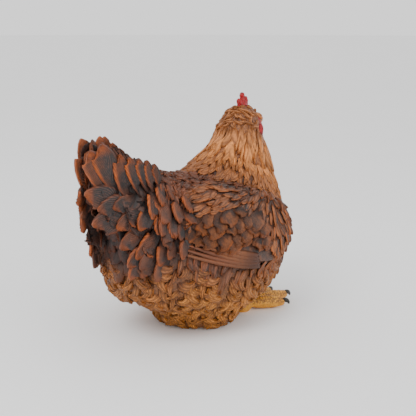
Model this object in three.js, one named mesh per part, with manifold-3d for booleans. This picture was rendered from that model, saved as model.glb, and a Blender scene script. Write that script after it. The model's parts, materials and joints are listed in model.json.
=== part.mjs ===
// A sitting hen: a life-size garden statue, cast in resin and painted. Millimetres.
// +X is the way the breast faces, +Y the hen's left, +Z up. It sits on its flat underside and on its toes,
// with the tail raised and the head turned a little to its left.
//
// The flesh of trunk, neck and head is one smooth field of blended lobes, so the nodes meet in one surface.
// Each node is cast from that field and parted from its neighbours by a thin gap. The wings are shells on
// the flanks, and each half of the tail is a fan of broad overlapping feathers on its own core.

import * as THREE from "three";
import { mergeVertices } from "three/addons/utils/BufferGeometryUtils.js";
import Module from "manifold-3d";

const wasm = await Module();
wasm.setup();

// ---------------------------------------------------------------- driving dimensions

const GAP = 0.3; // clearance between touching nodes
const HUGE = 900; // side of the boxes that stand for half spaces
const SIDES = { right: -1, left: 1 };

// Lobes of the trunk: centre, radii and pitch in degrees (nose up). Those with a side are mirrored.
const TRUNK_LOBES = [
  { part: "body", at: [3, 0, 92], radii: [106, 90, 80] },
  { part: "breast", at: [52, 0, 108], radii: [74, 78, 72] },
  { part: "crop", at: [66, 0, 138], radii: [44, 50, 46] },
  { part: "rump", at: [-74, 0, 100], radii: [64, 68, 64] },
  { part: "saddle", at: [-38, 0, 148], radii: [74, 56, 42], pitch: -8 },
  { part: "belly", at: [42, 0, 60], radii: [64, 66, 50] },
  { part: "seat", at: [-10, 0, 38], radii: [70, 62, 46] },
  { part: "thigh", at: [-12, 46, 60], radii: [64, 42, 50], mirrored: true },
  { part: "fluff", at: [-80, 26, 78], radii: [44, 38, 42], mirrored: true },
];
const TRUNK_BLEND = 24;
const TRUNK_CENTRE = [0, 0, 96];

// How many faces each cast has around it and from pole to pole.
const FACETS = {
  trunk: [32, 19],
  neck: [22, 11],
  head: [18, 12],
  wing: [24, 14],
  tailCore: [16, 10],
  shank: [9, 7],
  toe: [8, 7],
  claw: [7, 6],
  beak: [9, 7],
  small: [9, 7],
};

const TAIL_LOBES = [
  { part: "tail root", at: [-88, 0, 150], radii: [50, 38, 40], pitch: -30 },
  { part: "tail core", at: [-120, 14, 172], radii: [46, 12, 44], pitch: -30, mirrored: true },
];
const TAIL_CENTRE = [-100, 0, 164];

// The neck is a sweep of balls, and its hackle flares over the shoulders.
const NECK_LINE = [
  [52, 0, 148],
  [72, -3, 178],
  [81, -3, 206],
  [83, 0, 234],
];
const NECK_RADII = [62, 46, 33, 24];
const NECK_BLEND = 20;
const NECK_BALLS = 28;

const HEAD_AT = [84, 1, 242];
const HEAD_YAW = 6; // degrees towards the hen's left
const HEAD_LOBES = [
  { part: "skull", at: [0, 0, 0], radii: [26, 22.5, 20] },
  { part: "nape", at: [-7, 0, -8], radii: [20, 23, 14] },
  { part: "face", at: [19, 0, -3], radii: [17, 14, 15] },
  { part: "cheek", at: [8, 11, -12], radii: [17, 13, 14], mirrored: true },
];
const HEAD_BLEND = 8;
const CAP_BLEND = 5; // the head feathers end in a shallow step over the hackle

// Parting planes, each a point and the direction that it faces.
const NECK_PLANE = { at: [48, 0, 172], facing: [0.42, 0, 0.91] };
const TAIL_PLANE = { at: [-92, 0, 150], facing: [-1, 0, 0.45] };
const HEAD_PLANE = { at: [74, 2, 231], facing: [0.15, 0.05, 1] };

const WING = {
  middle: [4, 131], // X and Z of the centre of its outline
  halfLength: 84,
  halfDepth: 45,
  square: 2.6, // 2 is an ellipse, and more is fuller at the corners
  pitch: -17, // degrees: the tip is higher than the shoulder
  proud: 11, // how far the coverts stand out from the flank
  edge: 9, // rounding of its rim
  depth: 46, // how far its centre lies from the middle plane
  inner: 20, // how near it comes to the middle plane
};

// Rows of the tail fan on one side: how many feathers, the angles they span above the horizontal, how far
// they reach at the top, the middle and the bottom, and how far from the middle plane they lie.
const TAIL_ROOT = [-72, 0, 168];
const TAIL_ROWS = [
  { part: "quills", count: 5, from: 39, to: -56, reaches: [134, 103, 110], out: 9, flare: 0.17, thick: 7 },
  { part: "coverts", count: 5, from: 38, to: -68, reaches: [102, 90, 88], out: 19, flare: 0.3, thick: 8 },
  { part: "lesser", count: 4, from: 34, to: -74, reaches: [76, 70, 62], out: 29, flare: 0.42, thick: 8 },
];
const FAN = { start: 14, notch: 0.1, shingle: 3.5, bow: 5, facets: 4 };

const TOES = [
  { name: "outer", angle: 39, length: 51 },
  { name: "middle", angle: 12, length: 70 },
  { name: "inner", angle: -9, length: 66 },
];
const FOOT_AT = [58, 32, 7]; // the left one; the right one mirrors it
const TOE_RADIUS = 7;
const TOE_TAPER = 0.16;
const TOE_KNUCKLE = 0.05; // how much a joint swells
const KNUCKLES = 3;
// Points of a toe: the share of its length, and the height.
const TOE_LINE = [
  [0, 7],
  [0.4, 7.2],
  [0.75, 7],
  [1.02, 6.4],
];
const SHANK = { radii: [17, 12, 22], back: 6, rise: 17 }; // the folded shank, sunk in the belly
const CLAW = { radius: 4.4, taper: 0.62 };
// Points of a claw beyond the tip of its toe: how far on and how high.
const CLAW_LINE = [
  [-3, 10],
  [6, 11.5],
  [6.8, 3.6],
];

const COMB = { back: -8, step: 7, lobes: [8, 16, 10], dip: 3, thick: 6, foot: 9, z: 19 };
// In the head's frame: where each piece is along X and Z, and how deep its centre lies in the cheek.
const EYE = { x: 18, z: 0, sunk: 3, radius: 4.5 };
const BEAK = {
  upper: { root: [21, 0, -3], middle: [41, 0, 0], tip: [49, 0, -9], thick: 7.4 },
  lower: { root: [22, 0, -11], middle: [36, 0, -11.5], tip: [43, 0, -12.5], thick: 4.8 },
  taper: 0.74,
};
const WATTLE = { x: 29, z: -20, y: 9, radii: [7, 4, 11] };
const EARLOBE = { x: 7, z: -13, sunk: 0.4, radii: [5, 3, 8], tilt: -14 };

// ---------------------------------------------------------------- materials

const paint = (colour, roughness) =>
  new THREE.MeshStandardMaterial({ color: colour, roughness, metalness: 0 });
const FEATHER = paint(0x7a4a33, 0.62);
const HACKLE = paint(0xa8714a, 0.62);
const TAIL_PAINT = paint(0x5b4038, 0.58);
const RED = paint(0x9e2227, 0.42);
const HORN = paint(0xb98a3e, 0.5);
const TOE_PAINT = paint(0xb07a34, 0.55);
const CLAW_PAINT = paint(0x2b2724, 0.4);
const EYE_PAINT = paint(0x9a4a18, 0.15);

// ---------------------------------------------------------------- fields

const vector = ([x, y, z]) => new THREE.Vector3(x, y, z);
const radians = THREE.MathUtils.degToRad;
const lerp = THREE.MathUtils.lerp;
const clamp = THREE.MathUtils.clamp;

// Union of two distances, rounded over a width k. A negative sign of both gives the intersection.
function blend(a, b, k) {
  const h = Math.max(k - Math.abs(a - b), 0) / k;
  return Math.min(a, b) - (h * h * k) / 4;
}

// The distance from a point to a pitched ellipsoid, near enough for blending and casting.
function lobeDistance({ at, radii, pitch = 0 }) {
  const turn = new THREE.Matrix4().makeRotationY(radians(-pitch));
  const back = turn.clone().invert();
  const centre = vector(at);
  const [a, b, c] = radii;
  return (p) => {
    const q = p.clone().sub(centre).applyMatrix4(back);
    const near = Math.hypot(q.x / a, q.y / b, q.z / c);
    const slope = Math.hypot(q.x / (a * a), q.y / (b * b), q.z / (c * c));
    return slope < 1e-9 ? -Math.min(a, b, c) : (near * (near - 1)) / slope;
  };
}

const mirror = (lobe) => ({ ...lobe, at: [lobe.at[0], -lobe.at[1], lobe.at[2]] });
const withMirrors = (lobes) => lobes.flatMap((l) => (l.mirrored ? [l, mirror(l)] : [l]));

function lobesField(lobes, k) {
  const parts = withMirrors(lobes).map(lobeDistance);
  return (p) => parts.reduce((nearest, part) => blend(nearest, part(p), k), 1e3);
}

const neckCurve = new THREE.CatmullRomCurve3(NECK_LINE.map(vector));
const neckRadius = (t) => {
  const at = t * (NECK_RADII.length - 1);
  const i = Math.min(Math.floor(at), NECK_RADII.length - 2);
  return lerp(NECK_RADII[i], NECK_RADII[i + 1], at - i);
};
const neckBalls = Array.from({ length: NECK_BALLS }, (_, i) => {
  const t = i / (NECK_BALLS - 1);
  return { centre: neckCurve.getPoint(t), radius: neckRadius(t) };
});
const neckField = (p) =>
  Math.min(...neckBalls.map(({ centre, radius }) => p.distanceTo(centre) - radius));

// The head has a frame of its own: +X to the beak tip, turned about Z.
const headFrame = new THREE.Matrix4()
  .makeRotationZ(radians(HEAD_YAW))
  .setPosition(...HEAD_AT);
const headBack = headFrame.clone().invert();
const inHead = (at) => vector(at).applyMatrix4(headFrame);
const headLocal = lobesField(HEAD_LOBES, HEAD_BLEND);
const headField = (p) => headLocal(p.clone().applyMatrix4(headBack));

const trunkField = lobesField(TRUNK_LOBES, TRUNK_BLEND);
const tailField = lobesField(TAIL_LOBES, TRUNK_BLEND / 2);
const fleshField = (p) =>
  blend(blend(trunkField(p), neckField(p), NECK_BLEND), headField(p), CAP_BLEND);
const rumpField = (p) => blend(trunkField(p), tailField(p), TRUNK_BLEND);

// How far from an origin, in a direction, the field is zero: found from outside by steps, then by halving.
function reach(field, origin, direction, most) {
  const at = (t) => field(direction.clone().multiplyScalar(t).add(origin));
  let far = most;
  let near = most;
  while (near > 0 && at(near) > 0) {
    far = near;
    near -= Math.max(0.6 * at(near), 0.8);
  }
  near = Math.max(near, 0.5);
  for (let i = 0; i < 14; i++) {
    const middle = (near + far) / 2;
    if (at(middle) > 0) far = middle;
    else near = middle;
  }
  return (near + far) / 2;
}

// ---------------------------------------------------------------- solids

// A closed geometry as a solid. A reshape that mirrors it turns its faces inwards, so they are flipped.
function solid(geometry, flip = false) {
  geometry.deleteAttribute("normal");
  geometry.deleteAttribute("uv");
  const merged = mergeVertices(geometry, 1e-4);
  const index = merged.index.array;
  const kept = [];
  for (let i = 0; i < index.length; i += 3) {
    const [a, b, c] = [index[i], index[i + 1], index[i + 2]];
    if (a === b || b === c || a === c) continue;
    if (flip) kept.push(a, c, b);
    else kept.push(a, b, c);
  }
  return new wasm.Manifold(
    new wasm.Mesh({
      numProp: 3,
      vertProperties: new Float32Array(merged.attributes.position.array),
      triVerts: new Uint32Array(kept),
    }),
  );
}

function reshape(geometry, move) {
  const position = geometry.attributes.position;
  const p = new THREE.Vector3();
  for (let i = 0; i < position.count; i++) {
    const moved = move(p.fromBufferAttribute(position, i).clone());
    position.setXYZ(i, moved.x, moved.y, moved.z);
  }
  return geometry;
}

// A ball whose points are cast out from a centre onto the field's surface. Its poles are above and below.
function castBall(field, centre, [around, along], most = 330) {
  const origin = vector(centre);
  const ball = new THREE.SphereGeometry(1, around, along).rotateX(Math.PI / 2);
  return solid(
    reshape(ball, (p) => {
      const direction = p.normalize();
      const length = reach(field, origin, direction, most);
      return direction.multiplyScalar(length).add(origin);
    }),
  );
}

// A closed tube about a curve, cast outwards from it onto the field's surface.
function castTube(field, curve, [around, along], most = 150) {
  const tube = new THREE.CylinderGeometry(1, 1, 1, around, along).translate(0, 0.5, 0);
  return solid(
    reshape(tube, (p) => {
      const t = clamp(p.y, 0, 1);
      const origin = curve.getPoint(t);
      const tangent = curve.getTangent(t);
      const side = new THREE.Vector3(0, 1, 0).cross(tangent).normalize();
      const other = side.clone().cross(tangent);
      const radial = Math.hypot(p.x, p.z);
      if (radial < 1e-6) return origin;
      const direction = side
        .multiplyScalar(p.x)
        .addScaledVector(other, p.z)
        .normalize();
      const length = reach(field, origin, direction, most);
      return direction.multiplyScalar(length).add(origin);
    }),
  );
}

// The half space behind a plane, or in front of it where ahead is true, kept half a gap clear of it.
function halfSpace({ at, facing }, ahead = false, further = 0) {
  const normal = vector(facing).normalize();
  const box = new THREE.BoxGeometry(HUGE, HUGE, HUGE);
  box.applyQuaternion(
    new THREE.Quaternion().setFromUnitVectors(new THREE.Vector3(0, 0, 1), normal),
  );
  const shift = ((ahead ? 1 : -1) * (HUGE + GAP)) / 2 + further;
  const centre = vector(at).addScaledVector(normal, shift);
  return solid(box.translate(centre.x, centre.y, centre.z));
}

const aboveFloor = solid(new THREE.BoxGeometry(HUGE, HUGE, HUGE).translate(0, 0, HUGE / 2));
const sideHalf = (side) => halfSpace({ at: [0, 0, 0], facing: [0, side, 0] }, true);
const union = (solids) => solids.reduce((all, one) => all.add(one));

// A limb: a round rod about a curve, whose radius is a function of the way along. Its ends are round, and
// blunter the smaller the bluntness is.
function limb({ curve, radius, grow, facets: [around, along], bluntness = 0.6 }) {
  const ball = new THREE.SphereGeometry(1, around, along);
  return solid(
    reshape(ball, (p) => {
      const t = (p.y + 1) / 2;
      const at = curve.getPoint(t);
      const tangent = curve.getTangent(t);
      const side = new THREE.Vector3(0, 0, 1).cross(tangent).normalize();
      const other = tangent.clone().cross(side);
      const ring = Math.hypot(p.x, p.z);
      if (ring < 1e-6) return at.addScaledVector(tangent, p.y * grow);
      const full = (radius(t) + grow) * Math.pow(ring, bluntness);
      return at
        .addScaledVector(side, (-p.x / ring) * full)
        .addScaledVector(other, (p.z / ring) * full)
        .addScaledVector(tangent, p.y * grow);
    }),
  );
}

// ---------------------------------------------------------------- wings

const wingTurn = radians(WING.pitch);

// The wing's outline as a distance across X and Z, with its rear end drawn to a blunt point.
function wingOutline(p) {
  const dx = p.x - WING.middle[0];
  const dz = p.z - WING.middle[1];
  const a = dx * Math.cos(wingTurn) + dz * Math.sin(wingTurn);
  const b = -dx * Math.sin(wingTurn) + dz * Math.cos(wingTurn);
  const along = a / WING.halfLength;
  const depth = WING.halfDepth * (1 + 0.1 * clamp(along, -1, 1));
  const power = (share) => Math.pow(Math.abs(share), WING.square);
  const near = Math.pow(power(along) + power(b / depth), 1 / WING.square);
  return (near - 1) * WING.halfDepth;
}

function wingSolid(side) {
  const field = (p) => {
    const along = clamp((p.x - WING.middle[0]) / WING.halfLength, -1, 1);
    const proud = WING.proud * lerp(0.8, 1, (along + 1) / 2);
    const shell = fleshField(p) - proud;
    const rim = -blend(-shell, -wingOutline(p), WING.edge);
    return Math.max(rim, WING.inner - side * p.y);
  };
  return castBall(field, [WING.middle[0], side * WING.depth, WING.middle[1]], FACETS.wing, 200);
}

// ---------------------------------------------------------------- tail

// A row of overlapping feathers as one bent plate, whose far edge is scalloped and whose face steps down
// from each feather to the next.
function fanSheet({ count, from, to, reaches, out, flare, thick }, side, grow) {
  const columns = count * FAN.facets;
  const plate = new THREE.BoxGeometry(1, 1, 1, columns, 3, 1).translate(0.5, 0.5, 0);
  const [top, middle, low] = reaches;
  return solid(
    reshape(plate, (p) => {
      const column = Math.round(p.x * columns);
      const share = column / columns;
      const place = (column % FAN.facets) / FAN.facets;
      const far = lerp(top, low, share) + 4 * share * (1 - share) * (middle - (top + low) / 2);
      const notch = 1 - FAN.notch * Math.pow(Math.abs(2 * place - 1), 2.5);
      const radius = lerp(FAN.start, far * notch + grow, p.y);
      const end = (column === 0 ? 1 : 0) - (column === columns ? 1 : 0);
      const angle = radians(lerp(from, to, share)) + (end * grow) / radius;
      const spread = side * flare * (0.35 + 0.95 * share);
      const ahead = new THREE.Vector3(-Math.cos(angle), spread, Math.sin(angle));
      const facing = new THREE.Vector3(0.3, side, 0.2 - 0.3 * share).normalize();
      const step = FAN.shingle * (place - 0.5) + 4 * FAN.bow * p.y * (1 - p.y);
      return vector(TAIL_ROOT)
        .setY(side * out * (0.45 + 0.9 * share))
        .addScaledVector(ahead.normalize(), radius)
        .addScaledVector(facing, step + p.z * ((1 - 0.45 * p.y) * thick + 2 * grow));
    }),
    side < 0,
  );
}

// The fan lies on the trunk, so it is trimmed by the trunk's skin, and it is joined to the core.
function tailSolid(side, grow, trunkSkin) {
  const centre = [TAIL_CENTRE[0], side * 8, TAIL_CENTRE[2]];
  const rump = castBall((p) => rumpField(p) - grow, centre, FACETS.tailCore);
  const core = rump.intersect(halfSpace(TAIL_PLANE, true));
  const fan = union(TAIL_ROWS.map((row) => fanSheet(row, side, grow)));
  const onTrunk = trunkSkin.intersect(halfSpace(TAIL_PLANE, false, 1.5 * GAP));
  return core.add(fan.subtract(onTrunk)).intersect(sideHalf(side));
}

// ---------------------------------------------------------------- feet

function footParts(side, grow) {
  const root = new THREE.Vector3(FOOT_AT[0], side * FOOT_AT[1], FOOT_AT[2]);
  const ball = new THREE.SphereGeometry(1, ...FACETS.shank).scale(...SHANK.radii.map((r) => r + grow));
  const shank = solid(ball.translate(root.x - SHANK.back, root.y, SHANK.rise));
  const toes = TOES.map(({ angle, length }) => {
    const turn = radians(side * angle);
    const ahead = new THREE.Vector3(Math.cos(turn), Math.sin(turn), 0);
    const joint = ([share, lift]) => root.clone().addScaledVector(ahead, share * length).setZ(lift);
    return { ahead, tip: joint([1, 0]), curve: new THREE.CatmullRomCurve3(TOE_LINE.map(joint)) };
  });
  const bones = toes.map(({ curve }) =>
    limb({
      curve,
      radius: (t) => TOE_RADIUS * (1 - TOE_TAPER * t + TOE_KNUCKLE * Math.cos(2 * Math.PI * KNUCKLES * t)),
      grow,
      facets: FACETS.toe,
    }),
  );
  const claws = toes.map(({ ahead, tip }) => {
    const line = CLAW_LINE.map(([along, z]) => tip.clone().addScaledVector(ahead, along).setZ(z));
    const curve = new THREE.QuadraticBezierCurve3(...line);
    return limb({ curve, radius: (t) => CLAW.radius * (1 - CLAW.taper * t), grow, facets: FACETS.claw });
  });
  return { foot: union([shank, ...bones]), claws };
}

// ---------------------------------------------------------------- comb, beak, wattles, eyes

function combSolid(grow) {
  const { back, step, lobes, dip, thick, foot, z } = COMB;
  const shape = new THREE.Shape();
  shape.moveTo(back - grow, -foot);
  shape.lineTo(back - grow, dip);
  lobes.forEach((tall, i) => {
    const x = back + i * step;
    const top = tall + grow;
    shape.bezierCurveTo(x - 1, tall, x + step * 0.15, top, x + step * 0.5, top);
    shape.bezierCurveTo(x + step * 0.9, top, x + step * 0.95, dip + 2, x + step + grow, dip);
  });
  shape.lineTo(back + lobes.length * step + grow, -foot);
  const plate = new THREE.ExtrudeGeometry(shape, {
    depth: thick * 0.4,
    bevelThickness: thick * 0.3 + grow,
    bevelSize: thick * 0.25,
    bevelOffset: -thick * 0.25,
    bevelSegments: 1,
    curveSegments: 3,
  });
  plate.rotateX(Math.PI / 2).translate(0, thick * 0.2, z);
  return solid(plate.applyMatrix4(headFrame));
}

function beakSolid(part, grow) {
  const { root, middle, tip, thick } = BEAK[part];
  const curve = new THREE.QuadraticBezierCurve3(inHead(root), inHead(middle), inHead(tip));
  return limb({ curve, radius: (t) => thick * (1 - BEAK.taper * t), grow, facets: FACETS.beak });
}

// How far out the cheek is at a point of the head's middle plane.
const cheekAt = (x, z) => reach(headLocal, new THREE.Vector3(x, 0, z), new THREE.Vector3(0, 1, 0), 60);

// A rounded piece on one side of the head.
function headPiece({ x, z, y, sunk, radii, tilt = 0 }, side, grow) {
  const ball = new THREE.SphereGeometry(1, ...FACETS.small).scale(...radii.map((r) => r + grow));
  ball.rotateZ(side * radians(tilt)).translate(x, side * (y ?? cheekAt(x, z) - sunk), z);
  return solid(ball.applyMatrix4(headFrame));
}

const eyeSolid = (side, grow) => headPiece({ ...EYE, radii: Array(3).fill(EYE.radius) }, side, grow);
const wattleSolid = (side, grow) => headPiece(WATTLE, side, grow);
const earlobeSolid = (side, grow) => headPiece(EARLOBE, side, grow);

// ---------------------------------------------------------------- the hen

const nodes = new Map();
const larger = (one, other) => (one.volume() > other.volume() ? one : other);
const place = (name, made, material) => nodes.set(name, { made: made.decompose().reduce(larger), material });
const cutBy = (solids, made) => solids.reduce((left, tool) => left.subtract(tool), made);
const bothSides = (make) =>
  Object.fromEntries(Object.entries(SIDES).map(([name, side]) => [name, make(side)]));
const rumpAndNeck = (p) => blend(rumpField(p), neckField(p), NECK_BLEND);
const trunkCast = (grow) => castBall((p) => rumpAndNeck(p) - grow, TRUNK_CENTRE, FACETS.trunk);

const feet = bothSides((side) => footParts(side, 0));
const feetTools = bothSides((side) => footParts(side, GAP));
const trunkShell = trunkCast(2 * GAP);

place(
  "trunk",
  cutBy(
    Object.values(feetTools).flatMap(({ foot, claws }) => [foot, ...claws]),
    trunkCast(0).intersect(aboveFloor).intersect(halfSpace(NECK_PLANE)).intersect(halfSpace(TAIL_PLANE)),
  ),
  FEATHER,
);

const beakTools = [beakSolid("upper", GAP), beakSolid("lower", GAP)];
const headTools = [
  combSolid(GAP),
  ...beakTools,
  ...Object.values(SIDES).flatMap((side) => [
    eyeSolid(side, GAP),
    wattleSolid(side, GAP),
    earlobeSolid(side, GAP),
  ]),
];
const neckLonger = new THREE.CatmullRomCurve3([...NECK_LINE.map(vector), inHead([-2, 0, 4])]);
place(
  "neck",
  cutBy(
    headTools,
    castTube(fleshField, neckLonger, FACETS.neck)
      .intersect(halfSpace(NECK_PLANE, true))
      .intersect(halfSpace(HEAD_PLANE)),
  ),
  HACKLE,
);

for (const [name, side] of Object.entries(SIDES)) {
  place(`wing_${name}`, cutBy([trunkShell, tailSolid(side, 3 * GAP, trunkShell)], wingSolid(side)), FEATHER);
  place(`tail_${name}`, tailSolid(side, 0, trunkShell), TAIL_PAINT);
  const { foot, claws } = feet[name];
  place(`foot_${name}`, cutBy(feetTools[name].claws, foot).intersect(aboveFloor), TOE_PAINT);
  claws.forEach((claw, i) =>
    place(`claw_${name}_${TOES[i].name}`, claw.intersect(aboveFloor), CLAW_PAINT),
  );
}

place(
  "head",
  cutBy(headTools, castBall(fleshField, HEAD_AT, FACETS.head, 90)).intersect(halfSpace(HEAD_PLANE, true)),
  HACKLE,
);
place("comb", combSolid(0), RED);
place("beak_upper", beakSolid("upper", 0), HORN);
place("beak_lower", cutBy([beakTools[0]], beakSolid("lower", 0)), HORN);
for (const [name, side] of Object.entries(SIDES)) {
  place(`eye_${name}`, eyeSolid(side, 0), EYE_PAINT);
  place(`wattle_${name}`, cutBy(beakTools, wattleSolid(side, 0)), RED);
  place(`earlobe_${name}`, earlobeSolid(side, 0), RED);
}

// ---------------------------------------------------------------- the scene graph

function meshOf(name, made, material) {
  const { numProp, vertProperties, triVerts, numVert } = made.getMesh();
  const points = new Float32Array(numVert * 3);
  for (let i = 0; i < numVert; i++) {
    points.set(vertProperties.subarray(i * numProp, i * numProp + 3), i * 3);
  }
  const geometry = new THREE.BufferGeometry()
    .setAttribute("position", new THREE.BufferAttribute(points, 3))
    .setIndex(new THREE.BufferAttribute(new Uint32Array(triVerts), 1));
  geometry.computeVertexNormals();
  const mesh = new THREE.Mesh(geometry, material);
  mesh.name = name;
  return mesh;
}

const hen = new THREE.Group();
hen.name = "hen";
for (const [name, { made, material }] of nodes) hen.add(meshOf(name, made, material));

// The origin is at the middle of the hen's box, on the ground.
const box = new THREE.Box3().setFromObject(hen);
hen.position.set(-(box.min.x + box.max.x) / 2, -(box.min.y + box.max.y) / 2, 0);

export default hen;
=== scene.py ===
import itertools
import json
import math

import bmesh
import bpy
import numpy as np
from bpy.props import FloatProperty, FloatVectorProperty, IntProperty, PointerProperty
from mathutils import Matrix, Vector, noise
from mathutils.bvhtree import BVHTree
from mathutils.kdtree import KDTree

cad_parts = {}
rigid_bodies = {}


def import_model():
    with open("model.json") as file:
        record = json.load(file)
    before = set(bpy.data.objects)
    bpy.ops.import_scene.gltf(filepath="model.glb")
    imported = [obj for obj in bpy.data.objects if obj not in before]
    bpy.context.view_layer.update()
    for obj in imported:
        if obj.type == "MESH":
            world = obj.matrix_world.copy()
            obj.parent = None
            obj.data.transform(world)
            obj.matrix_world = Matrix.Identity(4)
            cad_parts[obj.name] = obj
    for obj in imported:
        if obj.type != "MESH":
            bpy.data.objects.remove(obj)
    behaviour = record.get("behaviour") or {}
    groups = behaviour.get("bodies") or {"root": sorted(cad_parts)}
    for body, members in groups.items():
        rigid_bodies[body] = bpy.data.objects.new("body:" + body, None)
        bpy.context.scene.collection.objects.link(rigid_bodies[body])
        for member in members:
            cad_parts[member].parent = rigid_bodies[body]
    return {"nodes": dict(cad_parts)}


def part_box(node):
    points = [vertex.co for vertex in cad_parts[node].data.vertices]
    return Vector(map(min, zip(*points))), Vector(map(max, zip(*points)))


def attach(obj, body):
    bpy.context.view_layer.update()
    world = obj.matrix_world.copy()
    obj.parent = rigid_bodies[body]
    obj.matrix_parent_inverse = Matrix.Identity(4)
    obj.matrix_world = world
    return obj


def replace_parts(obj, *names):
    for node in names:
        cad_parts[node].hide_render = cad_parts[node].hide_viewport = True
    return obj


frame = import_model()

bl_info = {
    "name": "Sitting hen statue",
    "version": (1, 0, 0),
    "blender": (4, 5, 0),
    "location": "3D View > Sidebar > Hen",
    "description": "Builds a garden statue of a sitting hen, cast in resin and painted, feather by feather",
    "category": "Object",
}

MM = 0.001
FLESH = ["trunk", "neck", "head", "wing_right", "wing_left", "tail_right", "tail_left"]
TRUNK, NECK, HEAD = 0, 1, 2  # the numbers by which the skin knows these parts
WINGS, TAILS = (3, 4), (5, 6)  # the right one and the left one
SIDES = (("right", -1), ("left", 1))  # each side's name, and its sign along Y
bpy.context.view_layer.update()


# ---------------------------------------------------------------- settings


def length(name, words, value):
    return FloatProperty(
        name=name, description=words, default=value, min=0.0, max=1.0,
        unit="LENGTH", subtype="DISTANCE", precision=4,
    )


def colour(name, words, code):
    return FloatVectorProperty(
        name=name, description=words, default=paint(code), size=3, min=0.0, max=1.0, subtype="COLOR",
    )


def paint(code):
    """A six-digit colour as scene-linear red, green and blue."""
    parts = [int(code[i : i + 2], 16) / 255 for i in (0, 2, 4)]
    return tuple(c / 12.92 if c <= 0.04045 else ((c + 0.055) / 1.055) ** 2.4 for c in parts)


class HenSizes(bpy.types.PropertyGroup):
    """Sizes of the carved coat."""

    coat_depth: length("Coat depth", "How far the skin lies inside the outline of the feathers", 0.0032)
    skin_grain: length("Skin grain", "Edge of one face of the skin", 0.0021)
    hackle_length: length("Hackle length", "Length of a neck feather", 0.034)
    back_length: length("Back feather length", "Length of a back feather", 0.022)
    breast_length: length("Breast feather length", "Length of a breast feather", 0.026)
    wing_length: length("Wing covert length", "Length of a wing covert", 0.032)
    hanging_length: length("Hanging feather length", "Length of a feather that hangs below the tail", 0.032)
    fluff_length: length("Fluff length", "Length of a curl on the thighs", 0.0235)
    seed: IntProperty(name="Seed", description="Seed of everything that varies", default=7, min=0)


class HenColours(bpy.types.PropertyGroup):
    """Colours of the paint."""

    gold: colour("Gold", "Neck and dry-brushed tips", "c27a3e")
    brown: colour("Brown", "Back and breast", "71412a")
    slate: colour("Slate", "Dusky patches of the feathers", "34302f")
    rust: colour("Rust", "Brushed feather edges", "a04e1e")
    straw: colour("Straw", "Low fluff", "ab6c2a")
    # The umber below is painted shade, for the hollow of the tail and its inner lining.
    umber_shade: colour("Umber", "Hollow of the tail", "40241c")
    # The wash below darkens the feathers' roots and grooves, the skin between them and the toes' grooves:
    # partly the statue's own dark wash, partly painted shade. It also colours the beak's streaks.
    wash: colour("Wash", "Dark wash in every groove", "5a3c34")
    red: colour("Red", "Comb, wattles and face", "b3141c")
    ochre: colour("Ochre", "Toes", "e4a038")


def sizes():
    return bpy.context.scene.hen_sizes


def colours_now(name):
    return tuple(getattr(bpy.context.scene.hen_colours, name))


def shaded(name, share):
    """One of the hen's colours, darker or lighter by a share."""
    return tuple(min(1, c * share) for c in colours_now(name))


def mixed(name, other, share):
    return tuple(blend(colours_now(name), colours_now(other), share))


# ---------------------------------------------------------------- small tools


def unit(v):
    return v / np.maximum(np.linalg.norm(v, axis=-1, keepdims=True), 1e-12)


def ramp(x, low, high):
    """0 below low, 1 above high, and smooth between."""
    t = np.clip((np.asarray(x, float) - low) / (high - low), 0, 1)
    return t * t * (3 - 2 * t)


def blend(a, b, share):
    share = np.asarray(share, float)
    if share.ndim and 3 in (*np.shape(a)[-1:], *np.shape(b)[-1:]):
        share = share[..., None]
    return np.asarray(a) * (1 - share) + np.asarray(b) * share


def columns(count, *parts):
    """So many vectors, as rows. Each part is one number for them all, or an array."""
    return np.stack([np.broadcast_to(part, count) for part in parts], 1)


def laid_flat(v, up):
    """The vectors v, turned to lie at right angles to up."""
    return unit(v - up * (v * up).sum(1)[:, None])


def values_of(items, field, width=1, kind=np.float32):
    """One field of each of a mesh's items, as an array."""
    flat = np.zeros(len(items) * width, kind)
    items.foreach_get(field, flat)
    return flat.reshape(-1, width) if width > 1 else flat


def corners_of(mesh):
    """Which point each corner of the faces is at."""
    return values_of(mesh.loops, "vertex_index", kind=np.int32)


def middle_of(node):
    """The middle of a node's box, in metres."""
    low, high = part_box(node)
    return (np.array(low) + np.array(high)) / 2


def shade_smooth(mesh):
    mesh.polygons.foreach_set("use_smooth", np.ones(len(mesh.polygons), bool))


def new_piece(name, mesh, material):
    piece = bpy.data.objects.new(name, mesh)
    bpy.context.scene.collection.objects.link(piece)
    mesh.materials.clear()
    mesh.materials.append(material)
    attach(piece, "root")
    return piece


# The attributes that are not plain numbers, and how each kind is stored.
KINDS = {
    "heart": "FLOAT_COLOR", "rim": "FLOAT_COLOR", "outward": "FLOAT_VECTOR", "up": "FLOAT_VECTOR",
    "lie": "FLOAT_VECTOR", "size": "FLOAT_VECTOR", "home": "FLOAT_VECTOR", "kind": "INT",
}
STORED = {
    "FLOAT": ("value", 1), "INT": ("value", 1), "FLOAT_VECTOR": ("vector", 3), "FLOAT_COLOR": ("color", 4),
}


def store(mesh, **attributes):
    """Stores values at each point of a mesh. A column that is missing is filled with ones."""
    for name, values in attributes.items():
        kind = KINDS.get(name, "FLOAT")
        field, width = STORED[kind]
        rows = np.reshape(values, (len(mesh.vertices), -1))
        rows = np.c_[rows, np.ones((len(rows), width - rows.shape[1]))]
        flat = np.ascontiguousarray(rows, np.int32 if kind == "INT" else np.float32).ravel()
        mesh.attributes.new(name, kind, "POINT").data.foreach_set(field, flat)


def evaluated_mesh(thing):
    depsgraph = bpy.context.evaluated_depsgraph_get()
    made = thing.evaluated_get(depsgraph)
    return bpy.data.meshes.new_from_object(made, preserve_all_data_layers=True, depsgraph=depsgraph)


def drop(thing):
    mesh = thing.data
    bpy.data.objects.remove(thing)
    if mesh and mesh.users == 0:
        bpy.data.meshes.remove(mesh)


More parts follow.
